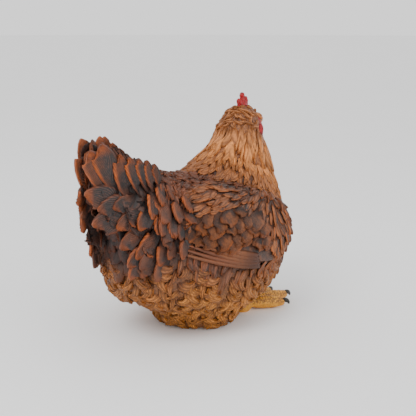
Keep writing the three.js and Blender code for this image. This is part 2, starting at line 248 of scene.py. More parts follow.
def swollen_copy(names, swell):
    """The nodes as one mesh, each merged and grown a little, so that neighbours join."""
    whole = bmesh.new()
    for name in names:
        part = bmesh.new()
        part.from_mesh(frame["nodes"][name].data)
        bmesh.ops.remove_doubles(part, verts=part.verts, dist=1e-6)
        bmesh.ops.recalc_face_normals(part, faces=part.faces)
        part.normal_update()
        for vertex in part.verts:
            vertex.co += vertex.normal * swell
        mesh = bpy.data.meshes.new(name + "_copy")
        part.to_mesh(mesh)
        part.free()
        whole.from_mesh(mesh)
        bpy.data.meshes.remove(mesh)
    mesh = bpy.data.meshes.new("flesh")
    whole.to_mesh(mesh)
    whole.free()
    return mesh


def remeshed(mesh, grain, name):
    """One even, closed skin over whatever the mesh holds."""
    rough = bpy.data.objects.new(name + "_rough", mesh)
    bpy.context.scene.collection.objects.link(rough)
    modifier = rough.modifiers.new("Even skin", "REMESH")
    modifier.mode = "VOXEL"
    modifier.voxel_size = grain
    modifier.use_smooth_shade = True
    made = evaluated_mesh(rough)
    made.name = name
    drop(rough)
    return made


def closed_mesh(name, points, faces):
    """A smooth mesh whose faces all point outwards."""
    mesh = bpy.data.meshes.new(name)
    mesh.from_pydata(points.tolist(), [], faces)
    whole = bmesh.new()
    whole.from_mesh(mesh)
    bmesh.ops.recalc_face_normals(whole, faces=whole.faces)
    whole.to_mesh(mesh)
    whole.free()
    shade_smooth(mesh)
    return mesh


def search_tree(names, scale=1.0):
    """A tree to search the faces of some nodes, and for each face the number of its node. Lengths in it
    are in units of scale."""
    points, polygons, owner = [], [], []
    for index, name in enumerate(names):
        data = frame["nodes"][name].data
        start = len(points)
        points += [v.co / scale for v in data.vertices]
        polygons += [[start + k for k in face.vertices] for face in data.polygons]
        owner += [index] * len(data.polygons)
    return BVHTree.FromPolygons(points, polygons), owner


class Net:
    """A mesh's points, edges and normals as arrays."""

    def __init__(self, mesh):
        mesh.calc_loop_triangles()
        self.mesh = mesh
        self.points = values_of(mesh.vertices, "co", 3).astype(float)
        self.edges = values_of(mesh.edges, "vertices", 2, np.int32)
        self.triangles = values_of(mesh.loop_triangles, "vertices", 3, np.int32)
        self.neighbours = np.bincount(self.edges.ravel(), minlength=len(self.points))[:, None].astype(float)

    def soften(self, values, times, share=0.6):
        """Each value, drawn by a share towards the mean of its neighbours, so many times."""
        values = np.array(values, float)
        flat = values.reshape(len(values), -1)
        a, b = self.edges.T
        n = len(flat)
        for _ in range(times):
            total = [np.bincount(a, v[b], n) + np.bincount(b, v[a], n) for v in flat.T]
            flat = flat * (1 - share) + np.stack(total, 1) / self.neighbours * share
        return flat.reshape(values.shape)

    def normals(self):
        p = self.points
        a, b, c = (p[self.triangles[:, k]] for k in range(3))
        across = np.cross(b - a, c - a)
        total = np.zeros_like(p)
        for k in range(3):
            for column in range(3):
                total[:, column] += np.bincount(self.triangles[:, k], across[:, column], len(p))
        return unit(total)

    def write(self):
        self.mesh.vertices.foreach_set("co", self.points.astype(np.float32).ravel())
        self.mesh.update()


# ---------------------------------------------------------------- how the coat lies


HEAD_FRONT = np.array([126, 3, 250.0])
SHOULDER = np.array([78, 0, 178.0])  # the wing's feathers spread from here
ROSETTE = np.array([-121, 0, 187.0])  # and the tail's from here
CAP_EDGE = 241.0  # the height at which the short tufts of the head end
COLLAR = 23.0  # how far above the foot of the neck its long feathers end


def above_neck_foot(p):
    """How far each place lies above the slanting foot of the neck, in millimetres."""
    return ((p[:, 0] - 68.5) * 0.42 + (p[:, 2] - 172) * 0.91) / 1.002


def fluff_top(x):
    """The height at which the curly fluff of the thighs ends."""
    return 74 + 24 * np.exp(-(((x + 72) / 22) ** 2)) + 25 * ramp(-x, 82, 98)


def hanging_front(z):
    """How far forward the feathers that hang below the tail begin."""
    return -48 - 22 * ramp(150 - z, 0, 32)


def hanging_low(x):
    """The height of the lowest of their roots."""
    return 112 + 17 * ramp(x, -92, -70)


def wing_foot(x):
    """The height of the wing's lower edge."""
    return 108 - 0.28 * x


def coat_lie(p, label):
    """The way the feathers point at each place p, in millimetres, before it is laid along the skin."""
    x, y, z = p.T
    n, side = len(p), np.sign(y)
    down_breast = columns(n, -0.15 - 0.35 * ramp(60 - x, 0, 60), 0, -1)
    along_back = columns(n, -1, side * 0.3, -0.15)
    lie = blend(down_breast, along_back, ramp(z, 138, 160) * ramp(x, -75, -35))
    hanging = columns(n, -0.22, side * 0.15, -1)
    lie = blend(lie, hanging, ramp(-x, 30, 60))
    wing = np.isin(label, WINGS)
    from_shoulder = unit((p - SHOULDER) * [1, 0, 1])
    along_wing = unit(from_shoulder + np.array([-0.25, 0, 0]) * ramp(z, 150, 168)[:, None])
    lie[wing] = along_wing[wing]
    over_shoulder = columns(n, -0.75 + 0.5 * ramp(x, 80, 115), 0, -0.8)
    down_neck = blend(over_shoulder, columns(n, -0.32, 0, -0.95), ramp(above_neck_foot(p), 6, 22))
    lie[label == NECK] = down_neck[label == NECK]
    away = unit(p - HEAD_FRONT) + np.array([-0.4, 0, -0.35])
    away = blend(unit(away), down_neck, ramp(CAP_EDGE + 3 - z, 0, 6))
    lie[label == HEAD] = away[label == HEAD]
    tail = np.isin(label, TAILS)
    fan = unit((p - ROSETTE) * [1, 0, 1]) + np.array([-0.3, 0, 0])
    fan = blend(fan, hanging, ramp(x, -122, -104) * ramp(205 - z, 0, 12))
    lie[tail] = fan[tail]
    return unit(lie)


def coat_colours(p, label):
    """(heart, rim, dusk) at each place p, in millimetres: the ground colour, the brushed colour of the
    edges, and how far the slate patches spread."""
    x, y, z = p.T
    names = ("gold", "brown", "rust", "straw", "umber_shade", "slate")
    gold, brown, rust, straw, umber_shade, slate = (np.array(colours_now(name)) for name in names)
    coat = {
        "heart": np.tile(brown, (len(p), 1)),
        "rim": np.tile(blend(brown, rust, 0.55), (len(p), 1)),
        "dusk": np.full(len(p), 0.62),
    }

    def over(share, **paints):
        """Lays new values over a share of each place."""
        for name, value in paints.items():
            coat[name] = blend(coat[name], value, share)

    golden = blend(gold, rust, 0.15)
    high = ramp(above_neck_foot(p), COLLAR - 8, COLLAR + 12)
    neck_heart = blend(blend(brown, gold, 0.35), gold, high)
    over(label == NECK, heart=neck_heart, rim=golden, dusk=0.3 * (1 - high))
    cap = (label == HEAD) * ramp(z, CAP_EDGE - 4, CAP_EDGE)
    over((label == HEAD) - cap, heart=gold, rim=golden, dusk=0.0)
    over(cap, heart=blend(brown, gold, 0.45), rim=gold, dusk=0.1)
    wing_dusk = blend(0.8, 0.15, ramp(110 - 0.35 * x - z, 0, 18))
    over(np.isin(label, WINGS), heart=blend(brown, gold, 0.2), rim=blend(rust, gold, 0.15), dusk=wing_dusk)
    tail = np.isin(label, TAILS)
    hanging = np.maximum(ramp(-x, 44, 62), tail) * ramp(z - fluff_top(x), -4, 12)
    over(hanging, heart=blend(brown, slate, 0.35), rim=rust, dusk=0.85)
    body = (label == TRUNK) | (tail & (z < fluff_top(x) + 12))
    rear = 0.4 * ramp(-x, 56, 84)
    low_heart = blend(blend(brown, straw, 0.85), brown, rear)
    low_rim = blend(blend(straw, gold, 0.7), rust, rear)
    over(body * ramp(fluff_top(x) + 30 - z, 0, 60), heart=low_heart, rim=low_rim)
    over(body * ramp(fluff_top(x) + 14 - z, 0, 10), dusk=0.0)
    over(body * ramp(42 - z, 0, 30) * 0.8, heart=straw)
    # Painted shade: the hollow between the two halves of the tail is painted dark umber.
    hollow = tail * ramp(30 - abs(y), 0, 14) * ramp(-x, 96, 112) * ramp(z - fluff_top(x), 0, 12)
    over(hollow * 0.8, heart=umber_shade, rim=blend(umber_shade, rust, 0.25))
    return coat["heart"], coat["rim"], coat["dusk"]


def bare_face(p):
    """1 on the bare red skin round the eyes and the beak."""
    return 1 - ramp(np.hypot((p[:, 0] - 127) / 13, (p[:, 2] - 240) / 13), 0.75, 1.0)


# ---------------------------------------------------------------- paints


class Paints:
    """Builds node materials. Each method adds one node and returns its output."""

    def __init__(self, name):
        self.material = bpy.data.materials.new(name)
        self.material.use_nodes = True
        self.tree = self.material.node_tree
        self.tree.nodes.clear()
        self.shader = self.tree.nodes.new("ShaderNodeBsdfPrincipled")
        output = self.tree.nodes.new("ShaderNodeOutputMaterial")
        self.link(self.shader.outputs[0], output.inputs["Surface"])

    def link(self, source, target):
        self.tree.links.new(source, target)

    def put(self, socket, value):
        if isinstance(value, bpy.types.NodeSocket):
            self.link(value, socket)
        elif isinstance(value, (tuple, list)) and len(value) == 3 and socket.type == "RGBA":
            socket.default_value = (*value, 1)
        else:
            socket.default_value = value

    def math(self, kind, a, b=0.0, c=0.0):
        node = self.tree.nodes.new("ShaderNodeMath")
        node.operation = kind
        for socket, value in zip(node.inputs, (a, b, c)):
            self.put(socket, value)
        return node.outputs[0]

    def times(self, a, b):
        return self.math("MULTIPLY", a, b)

    def times_plus(self, a, b, c):
        """a times b, plus c."""
        return self.math("MULTIPLY_ADD", a, b, c)

    def larger(self, a, b):
        return self.math("MAXIMUM", a, b)

    def vector_math(self, kind, a, b=(0, 0, 0)):
        node = self.tree.nodes.new("ShaderNodeVectorMath")
        node.operation = kind
        self.put(node.inputs[0], a)
        self.put(node.inputs[1], b)
        return node.outputs["Value" if kind == "LENGTH" else "Vector"]

    def fit(self, value, low, high, to_low=0.0, to_high=1.0):
        node = self.tree.nodes.new("ShaderNodeMapRange")
        node.interpolation_type = "SMOOTHSTEP"
        for name, number in (("Value", value), ("From Min", low), ("From Max", high),
                             ("To Min", to_low), ("To Max", to_high)):
            self.put(node.inputs[name], number)
        return node.outputs[0]

    def mix(self, share, a, b, kind="MIX"):
        node = self.tree.nodes.new("ShaderNodeMix")
        node.data_type = "RGBA"
        node.blend_type = kind
        self.put(node.inputs[0], share)
        self.put(node.inputs[6], a)
        self.put(node.inputs[7], b)
        return node.outputs[2]

    def wash_shaded(self, share, base):
        """The base, darkened over a share of it by the wash colour: partly the statue's own dark wash,
        partly painted shade.
        """
        return self.mix(share, base, self.mix(1.0, base, colours_now("wash"), "MULTIPLY"))

    def read(self, name, kind="Fac"):
        node = self.tree.nodes.new("ShaderNodeAttribute")
        node.attribute_name = name
        return node.outputs[kind]

    def place(self):
        return self.tree.nodes.new("ShaderNodeTexCoord").outputs["Object"]

    def noise(self, scale, detail=3.0, roughness=0.55, vector=None):
        node = self.tree.nodes.new("ShaderNodeTexNoise")
        self.put(node.inputs["Vector"], vector or self.place())
        node.inputs["Scale"].default_value = scale
        node.inputs["Detail"].default_value = detail
        node.inputs["Roughness"].default_value = roughness
        return node.outputs[0]

    def cells(self, scale):
        node = self.tree.nodes.new("ShaderNodeTexVoronoi")
        self.put(node.inputs["Vector"], self.place())
        node.inputs["Scale"].default_value = scale
        return node.outputs["Distance"]

    def bump(self, height, distance):
        node = self.tree.nodes.new("ShaderNodeBump")
        node.inputs["Distance"].default_value = distance
        self.put(node.inputs["Height"], height)
        return node.outputs[0]

    def finish(self, base, roughness, normal=None, **uniform):
        self.put(self.shader.inputs["Base Color"], base)
        self.put(self.shader.inputs["Roughness"], roughness)
        if normal is not None:
            self.put(self.shader.inputs["Normal"], normal)
        for name, value in uniform.items():
            self.shader.inputs[name].default_value = value
        return self.material


SATIN = {"Specular IOR Level": 0.32}


def feather_paint(name, lines=0.0, vee=0.0, hairs=0.0, edge=0.5, rim_share=1.0, comb_share=0.3, groove=0.45,
                  relief=0.0005, tip=0.7):
    """Brushed paint for a plume: darkening at its root, in its grooves and along the edge away from lean,
    which is partly the statue's dark wash and partly painted shade where its neighbours and its own barbs
    would shade it, a dusky patch, and a bright edge on the side that lean points to. lines is how many
    carved barbs it has along it and vee how far they slant, or hairs is how many hairs lie side by side
    across it. The bright edge starts at edge, a share of the way from the shaft. groove is how dark the
    carved lines are painted, as painted shade and wash, and tip how bright the end."""
    p = Paints(name)
    heart, rim = p.read("heart", "Color"), p.read("rim", "Color")
    along, across = p.read("along"), p.read("across")
    off_shaft = p.math("ABSOLUTE", across)
    grain = p.noise(330, 4)
    broad = p.noise(75)
    side = p.times(across, p.read("lean"))
    spread = p.times_plus(side, -0.22, p.noise(38, 2))
    base = p.mix(p.times(p.fit(spread, 0.36, 0.62), p.read("dusk")), heart, colours_now("slate"))
    bright = p.larger(p.fit(side, edge, edge + 0.3), p.times(p.fit(along, 0.8, 0.98), tip))
    bright = p.larger(bright, p.times(p.fit(off_shaft, 0.72, 0.92), 0.3))
    bright = p.times(bright, p.fit(along, 0.12, 0.5))
    bright = p.times(bright, p.fit(broad, 0.32, 0.62, 0.35 * rim_share, rim_share))
    base = p.mix(bright, base, rim)
    if hairs:
        phase = p.times(p.times_plus(broad, 0.5, across), hairs * math.pi)
    else:
        phase = p.times_plus(broad, 0.12, p.times_plus(off_shaft, -vee, along))
        phase = p.times(phase, lines * 2 * math.pi)
    comb = p.times_plus(p.math("SINE", phase), 0.5, 0.5)
    brushed = p.times(p.fit(comb, 0.45, 0.95), p.fit(grain, 0.35, 0.65))
    base = p.mix(p.times(brushed, comb_share), base, p.mix(0.5, base, rim, "ADD"))
    # Painted shade, partly the statue's own dark wash: darker towards the root, along the edge away from
    # lean, and in the carved grooves.
    hollow = p.larger(p.fit(along, 0.5, 0.08), p.times(p.fit(side, -0.45, -0.95), 0.75))
    hollow = p.larger(hollow, p.times(p.fit(comb, 0.4, 0.0), groove))
    base = p.wash_shaded(p.times(hollow, 0.78), base)
    shade = p.times_plus(p.read("tone"), 0.3, 0.85)
    shade = p.times_plus(p.math("SUBTRACT", grain, 0.5), 0.6, shade)
    base = p.mix(1.0, base, shade, "MULTIPLY")
    height = p.times_plus(grain, 0.6, p.times(comb, 0.7))
    return p.finish(base, p.times_plus(grain, 0.25, 0.42), p.bump(height, relief), **SATIN)


def skin_paint():
    """The ground that shows between the feathers: the same markings darkened, partly by the statue's own
    dark wash and partly as painted shade, and the bare red face, painted darker in the low grooves between
    its pebbles as painted shade.
    """
    p = Paints("feathered_skin")
    grain = p.noise(420, 4)
    dusky = p.times(p.fit(p.noise(90), 0.38, 0.6), p.read("dusk"))
    ground = p.mix(dusky, p.read("heart", "Color"), colours_now("slate"))
    # Painted shade and wash: the ground is darkened over much of it, where it shows between the feathers.
    ground = p.wash_shaded(p.fit(grain, 0.7, 0.3, 0.35, 0.8), ground)
    pebble = p.cells(620)
    # Painted shade: the red is darker towards the edges of the pebbles, where the bump lies low.
    red = p.mix(p.fit(pebble, 0.0, 0.6), colours_now("red"), shaded("red", 0.45))
    base = p.mix(p.read("face"), ground, red)
    height = p.times_plus(grain, 0.7, p.times(pebble, -0.6))
    return p.finish(base, p.times_plus(grain, 0.3, 0.4), p.bump(height, 0.0006))


# ---------------------------------------------------------------- the skin


class Skin:
    """The one skin, kept for the operators that lay feathers on it."""

    thing = net = finder = None
    label = normal = lie = heart = rim = dusk = face = None

    @classmethod
    def nearest(cls, places):
        """Which point of the skin is nearest to each place, in metres."""
        return np.array([cls.finder.find(Vector(place))[1] for place in places])


# The bake map is the skin unwrapped in flat panels: for the body, the head, the right and the left half of
# the tail, two across each of X, Y and Z. Each panel's lowest corner and its span are in millimetres.
PANEL_AXES = np.array([(1, 2), (0, 2), (0, 1)])
PANEL_LOW = np.array([
    [(-130, -5), (-110, -5), (-110, -110)],
    [(-35, 200), (70, 200), (70, -35)],
    [(-80, 60), (-165, 60), (-165, -110)],
    [(-80, 60), (-165, 60), (-165, -110)],
])
PANEL_SPAN = np.array([270, 75, 190, 190])
BODY_PANELS = 6
PATCH = 0.003  # how much of the map one feather takes, along and across


def bake_place(p, n, label):
    """Where a place on the skin, with its normal n, lies in the bake map."""
    group = np.select([label == HEAD, label == TAILS[0], label == TAILS[1]], [1, 2, 3], 0)
    axis = np.abs(n).argmax(1)
    sign = (n[np.arange(len(n)), axis] > 0).astype(int)
    panel = group * BODY_PANELS + axis * 2 + sign
    flat = np.take_along_axis(p, PANEL_AXES[axis], 1)
    inside = np.clip((flat - PANEL_LOW[group, axis]) / PANEL_SPAN[group][:, None], 0.01, 0.99)
    body = (group == 0)[:, None]
    small = panel - BODY_PANELS
    big_corner = np.stack([panel % 3, panel // 3], 1) / 3
    small_corner = np.stack([small % 9, 6 + small // 9], 1) / 9
    return np.where(body, big_corner, small_corner) + inside * np.where(body, 1 / 3, 1 / 9)


def feather_patch(home, along, across):
    """The places in the bake map of a feather's points: a small patch round its root's own place."""
    return home + np.stack([along - 0.5, across * 0.5], 1) * PATCH


def add_bake_map(mesh, places):
    """places holds a place in the bake map for each corner of the faces."""
    layer = mesh.uv_layers.new(name="OFBake")
    layer.data.foreach_set("uv", places.astype(np.float32).ravel())
    mesh.uv_layers.active = layer


def add_skin_bake_map(mesh, net, labels):
    """Each face of the skin goes whole into the panel that its own normal picks."""
    corners = corners_of(mesh)
    normals = values_of(mesh.polygons, "normal", 3).astype(float)
    starts = values_of(mesh.polygons, "loop_start", kind=np.int32)
    totals = values_of(mesh.polygons, "loop_total", kind=np.int32)
    face_of = np.repeat(np.arange(len(normals)), totals)
    group = labels[corners[starts]]
    add_bake_map(mesh, bake_place(net.points[corners] / MM, normals[face_of], group[face_of]))


def fuller(p, normal, label):
    """How much deeper the skin lies than usual, in metres: less where the nape, the throat and the breast
    are full, and more where the belly curves in above the floor."""
    z, forward = p[:, 2], normal[:, 0]
    front = np.isin(label, [TRUNK, NECK]) * ramp(forward, 0.1, 0.5)
    back = np.isin(label, [NECK, HEAD]) * ramp(-forward, 0.15, 0.55)
    nape = back * ramp(z, 194, 210) * ramp(244 - z, 0, 14)
    throat = front * ramp(z, 128, 142) * ramp(204 - z, 0, 16)
    breast = front * ramp(z, 84, 92) * ramp(124 - z, 0, 10)
    belly = (label == TRUNK) * ramp(z, 0, 6) * ramp(46 - z, 0, 22)
    return 0.0072 * belly - 0.0076 * nape - 0.0010 * throat - 0.0050 * breast


NODE_JOIN = 0.0004  # how far the flesh nodes grow, so that their gaps close
HEAD_DEPTH, TAIL_DEPTH, FACE_DEPTH = 0.6, 0.5, 0.15  # the coat's depth there, as shares of the usual one


def sink(net, label):
    """Draws the skin in by the depth of its coat."""
    depth = np.full(len(label), sizes().coat_depth)
    depth[label == HEAD] *= HEAD_DEPTH
    depth *= 1 - (1 - FACE_DEPTH) * np.where(label == HEAD, bare_face(net.points / MM), 0)
    depth[np.isin(label, TAILS)] *= TAIL_DEPTH
    net.points = net.soften(net.points, 3, 0.5)
    normal = net.soften(net.normals(), 4)
    depth = (depth + fuller(net.points / MM, normal, label)) * ramp(net.points[:, 2], 0.002, 0.012)
    net.points = net.points - unit(normal) * net.soften(depth, 8)[:, None]
    net.points = net.soften(net.points, 3, 0.5)
    tail = net.soften(np.isin(label, TAILS).astype(float), 4)
    net.points = blend(net.points, net.soften(net.points, 22), tail)
    net.points[:, 2] = np.maximum(net.points[:, 2], 0.0)


def make_skin():
    """Joins the flesh nodes in one skin, and works out how its coat lies and is coloured."""
    mesh = remeshed(swollen_copy(FLESH, NODE_JOIN), sizes().skin_grain, "hen_skin")
    net = Net(mesh)
    tree, owner = search_tree(FLESH)
    label = np.array([owner[tree.find_nearest(Vector(p))[2]] for p in net.points])
    sink(net, label)
    net.write()
    shade_smooth(mesh)
    places = net.points / MM
    normal = unit(net.soften(net.normals(), 2))
    lie = coat_lie(places, label)
    for _ in range(6):
        lie = laid_flat(net.soften(lie, 6), normal)
    heart, rim, dusk = (np.clip(net.soften(v, 12), 0, 1) for v in coat_colours(places, label))
    face = net.soften(np.where(label == HEAD, bare_face(places), 0.0), 2)
    store(mesh, outward=normal, heart=heart, rim=rim, dusk=dusk, face=face)
    add_skin_bake_map(mesh, net, label)
    Skin.net, Skin.label, Skin.normal, Skin.lie = net, label, normal, lie
    Skin.heart, Skin.rim, Skin.dusk, Skin.face = heart, rim, dusk, face
    Skin.finder = KDTree(len(net.points))
    for index, place in enumerate(net.points):
        Skin.finder.insert(place, index)
    Skin.finder.balance()
    Skin.thing = new_piece("skin", mesh, skin_paint())
    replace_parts(Skin.thing, *FLESH)


# ---------------------------------------------------------------- plumes


def pointed(low, high, fullness, sharpness, floor=0.0, swell=1.0):
    """How wide a plume is along its length: it swells from its root, and ends in a point."""
    def at(t):
        widest = np.sin(np.pi * np.clip(t, low, high) ** fullness) ** sharpness
        return np.clip(widest * swell, floor, 1)

    return at


def rounded(low, high, shoulder, tip, power, floor):
    """How wide a plume is along its length: it opens from low to high, and its end is round."""
    def at(t):
        end = np.clip((t - shoulder) / tip, 0, 1) ** power
        return ramp(t, low, high) * np.sqrt(np.clip(1 - end, floor, 1))

    return at


LEAF = pointed(0.03, 0.985, 0.85, 0.7)
FLAME = pointed(0.03, 0.99, 0.66, 0.95, 0.03, 1.05)
STRAND = pointed(0.04, 0.99, 0.62, 0.8, 0.06)
COMMA = pointed(0.03, 0.985, 0.62, 0.75, 0.1)
SCALLOP = rounded(-0.2, 0.4, 0.5, 0.515, 2.6, 0.03)
DROP = rounded(-0.15, 0.7, 0.6, 0.415, 2.2, 0.02)


def ring_faces(start, count, ring):
    """The faces of a closed tube of so many rings, whose points follow one another from start on."""
    faces = []
    for k in range(count - 1):
        for j in range(ring):
            a, b = start + k * ring + j, start + k * ring + (j + 1) % ring
            faces.append((a, a + ring, b + ring, b))
    last = start + (count - 1) * ring
    return [*faces, tuple(range(start, start + ring)), tuple(reversed(range(last, last + ring)))]


# Heights of a unit plume, as shares of its lift.
ROOT_DEPTH = 0.25  # how deep below the skin it begins
TIP_DROP = 0.2  # how much its very tip bows down
THICKNESS = 0.6  # how far its underside lies below its edges


def plume_mesh(name, stations, across, outline, bend, profile, slim=1.0, climb=1.05):
    """A flat unit plume, 1 long and slim wide. Its height is kept in the attribute rise, and is given when
    it is laid: it climbs from below the skin at its root to its full height near the tip."""
    middle = np.array([bend(s) for s in stations])
    heading = unit(np.gradient(middle, stations, axis=0))
    sideways = np.stack([-heading[:, 1], heading[:, 0]], 1)
    half = outline(np.array(stations)) * 0.5 * slim
    points, rise, along, cross = [], [], [], []
    for k, s in enumerate(stations):
        base = climb * s - ROOT_DEPTH - TIP_DROP * float(ramp(s, 0.84, 1.0))
        growth = min(1.0, 0.3 + 1.5 * s)
        rows = [(u, base + profile(u) * growth) for u in across] + [(0.0, base - THICKNESS)]
        for u, height in rows:
            at = middle[k] + sideways[k] * u * half[k]
            points.append((at[0], at[1], 0))
            rise.append(height)
            along.append(s)
            cross.append(u)
    mesh = bpy.data.meshes.new(name)
    mesh.from_pydata(points, [], ring_faces(0, len(stations), len(across) + 1))
    store(mesh, rise=rise, along=along, across=cross)
    return bpy.data.objects.new(name, mesh)


def wave(size):
    """A plume that sways once to each side."""
    return lambda s: (s, size * math.sin(math.pi * 1.7 * s))


def curl(turn):
    """A plume of unit length that curls round. turn is in radians, and its sign says which way."""
    steps = 24

    def at(s):
        ways = [turn * (s * (k + 0.5) / steps) ** 1.3 for k in range(steps)]
        return (s * sum(map(math.cos, ways)) / steps, s * sum(map(math.sin, ways)) / steps)

    return at


def domed(dome, rim=0.0, shaft=0.0):
    """The height across a plume: a crown that sinks towards its edges, a raised rim and a shaft."""

    def at(u):
        crown = dome * (1 - u * u) - 0.25 * abs(u) ** 6
        raised = rim * math.exp(-(((abs(u) - 0.76) / 0.15) ** 2))
        return crown + raised + shaft * math.exp(-((u / 0.16) ** 2))

    return at


VANE_ACROSS = [1, 0.86, 0.62, 0.3, 0, -0.3, -0.62, -0.86, -1]
LEAF_ACROSS = [1, 0.72, 0.36, 0, -0.36, -0.72, -1]
LOCK_ACROSS = [1, 0.6, 0, -0.6, -1]
STATIONS = [0, 0.2, 0.42, 0.62, 0.78, 0.9, 0.97, 1]
CURL_STATIONS = [0, 0.14, 0.28, 0.42, 0.56, 0.7, 0.84, 0.95, 1]


def plume_set(name, stations, across, *kinds):
    """Unit plumes, one of each kind: its outline, its bend, its height across, and then how slim it is and
    how steeply it climbs."""
    group = bpy.data.collections.new(name)
    for number, kind in enumerate(kinds):
        group.objects.link(plume_mesh("%s_plume_%d" % (name, number), stations, across, *kind))
    return group


def clear_set(group):
    for thing in list(group.objects):
        drop(thing)
    bpy.data.collections.remove(group)


FLOOR_GAP = 0.0004  # how far the lowest feathers stay above the floor
TREE_INPUTS = {
    "Roots": "NodeSocketGeometry",
    "Skin": "NodeSocketObject",
    "Plumes": "NodeSocketCollection",
    "Paint": "NodeSocketMaterial",
    "Cling": "NodeSocketFloat",
    "Tilt": "NodeSocketFloat",
}


def plume_tree():
    """Lays a plume at each root, turned to lie with the coat, and wraps it over the skin."""
    tree = bpy.data.node_groups.get("plumes_over_skin")
    if tree:
        return tree
    tree = bpy.data.node_groups.new("plumes_over_skin", "GeometryNodeTree")
    for name, kind in TREE_INPUTS.items():
        tree.interface.new_socket(name, in_out="INPUT", socket_type=kind)
    tree.interface.new_socket("Coat", in_out="OUTPUT", socket_type="NodeSocketGeometry")

    def add(kind, inputs, **settings):
        """A node. Each input is a number or the output of another node."""
        node = tree.nodes.new(kind)
        for key, value in settings.items():
            setattr(node, key, value)
        for key, value in inputs.items():
            if isinstance(value, bpy.types.NodeSocket):
                tree.links.new(value, node.inputs[key])
            else:
                node.inputs[key].default_value = value
        return node.outputs

    def named(name, kind="FLOAT"):
        return add("GeometryNodeInputNamedAttribute", {"Name": name}, data_type=kind)["Attribute"]

    def vector(name):
        return named(name, "FLOAT_VECTOR")

    def arithmetic(operation, a, b):
        return add("ShaderNodeMath", {0: a, 1: b}, operation=operation)[0]

    def raised(place, way, height):
        """A place, moved by a height along a way."""
        move = add("ShaderNodeVectorMath", {0: way, "Scale": height}, operation="SCALE")["Vector"]
        return add("ShaderNodeVectorMath", {0: place, 1: move}, operation="ADD")["Vector"]

    given = add("NodeGroupInput", {})
    plumes = add("GeometryNodeCollectionInfo", {
        "Collection": given["Plumes"], "Separate Children": True, "Reset Children": True,
    })
    axes = {"Primary Axis": vector("up"), "Secondary Axis": vector("lie")}
    turn = add("FunctionNodeAxesToRotation", axes, primary_axis="Z", secondary_axis="X")
    laid = add("GeometryNodeInstanceOnPoints", {
        "Points": given["Roots"],
        "Instance": plumes["Instances"],
        "Pick Instance": True,
        "Instance Index": named("kind", "INT"),
        "Rotation": turn["Rotation"],
        "Scale": vector("size"),
    })
    real = add("GeometryNodeRealizeInstances", {"Geometry": laid["Instances"]})
    skin = add("GeometryNodeObjectInfo", {"Object": given["Skin"]})["Geometry"]
    near = add("GeometryNodeProximity", {"Geometry": skin}, target_element="FACES")["Position"]
    outward = add("GeometryNodeSampleNearestSurface", {"Mesh": skin, "Value": vector("outward")},
                  data_type="FLOAT_VECTOR")["Value"]
    tilt = arithmetic("MULTIPLY", arithmetic("MULTIPLY", named("across"), named("lean")), given["Tilt"])
    height = arithmetic("MULTIPLY", arithmetic("ADD", named("rise"), tilt), named("lift"))
    free = raised(add("GeometryNodeInputPosition", {})["Position"], vector("up"), height)
    wrapped = raised(near, outward, height)
    place = add("ShaderNodeMix", {"Factor": given["Cling"], 4: free, 5: wrapped}, data_type="VECTOR")[1]
    place = add("ShaderNodeVectorMath", {0: place, 1: (-10, -10, FLOOR_GAP)}, operation="MAXIMUM")["Vector"]
    moved = add("GeometryNodeSetPosition", {"Geometry": real["Geometry"], "Position": place})
    smooth = add("GeometryNodeSetShadeSmooth", {"Geometry": moved["Geometry"]})
    painted = add("GeometryNodeSetMaterial", {"Geometry": smooth["Geometry"], "Material": given["Paint"]})
    add("NodeGroupOutput", {"Coat": painted["Geometry"]})
    return tree


def lay_plumes(name, roots, group, material, cling=1.0, tilt=0.25):
    """roots is a dict of arrays, in metres: at, up, lie, size, lift, kind, heart, rim, dusk, tone, lean and
    home. cling is 1 where the plumes wrap over the skin and 0 where they stand free. tilt raises the edge
    that lean points to."""
    points = bpy.data.meshes.new(name + "_roots")
    points.from_pydata(roots.pop("at").tolist(), [], [])
    store(points, **roots)
    holder = bpy.data.objects.new(name + "_holder", points)
    bpy.context.scene.collection.objects.link(holder)
    tree = plume_tree()
    modifier = holder.modifiers.new("Plumes", "NODES")
    modifier.node_group = tree
    inputs = {s.name: s.identifier for s in tree.interface.items_tree if s.item_type == "SOCKET"}
    given = {"Skin": Skin.thing, "Plumes": group, "Paint": material, "Cling": cling, "Tilt": tilt}
    for key, value in given.items():
        modifier[inputs[key]] = value
    mesh = evaluated_mesh(holder)
    holder.modifiers.clear()
    drop(holder)
    if len(mesh.polygons) == 0:
        raise RuntimeError(name + " came out empty")
    mesh.name = name
    along, across = (values_of(mesh.attributes[key].data, "value") for key in ("along", "across"))
    home = values_of(mesh.attributes["home"].data, "vector", 3)[:, :2]
    add_bake_map(mesh, feather_patch(home, along, across)[corners_of(mesh)])
    for spare in ("home", "up", "lie", "size", "lift", "kind", "rise"):
        if spare in mesh.attributes:
            mesh.attributes.remove(mesh.attributes[spare])
    new_piece(name, mesh, material)


TRIES = 9  # how many places are tried for each one that fits
SAME_SIDE = 0.2  # the cosine between normals above which two places lie on the same side


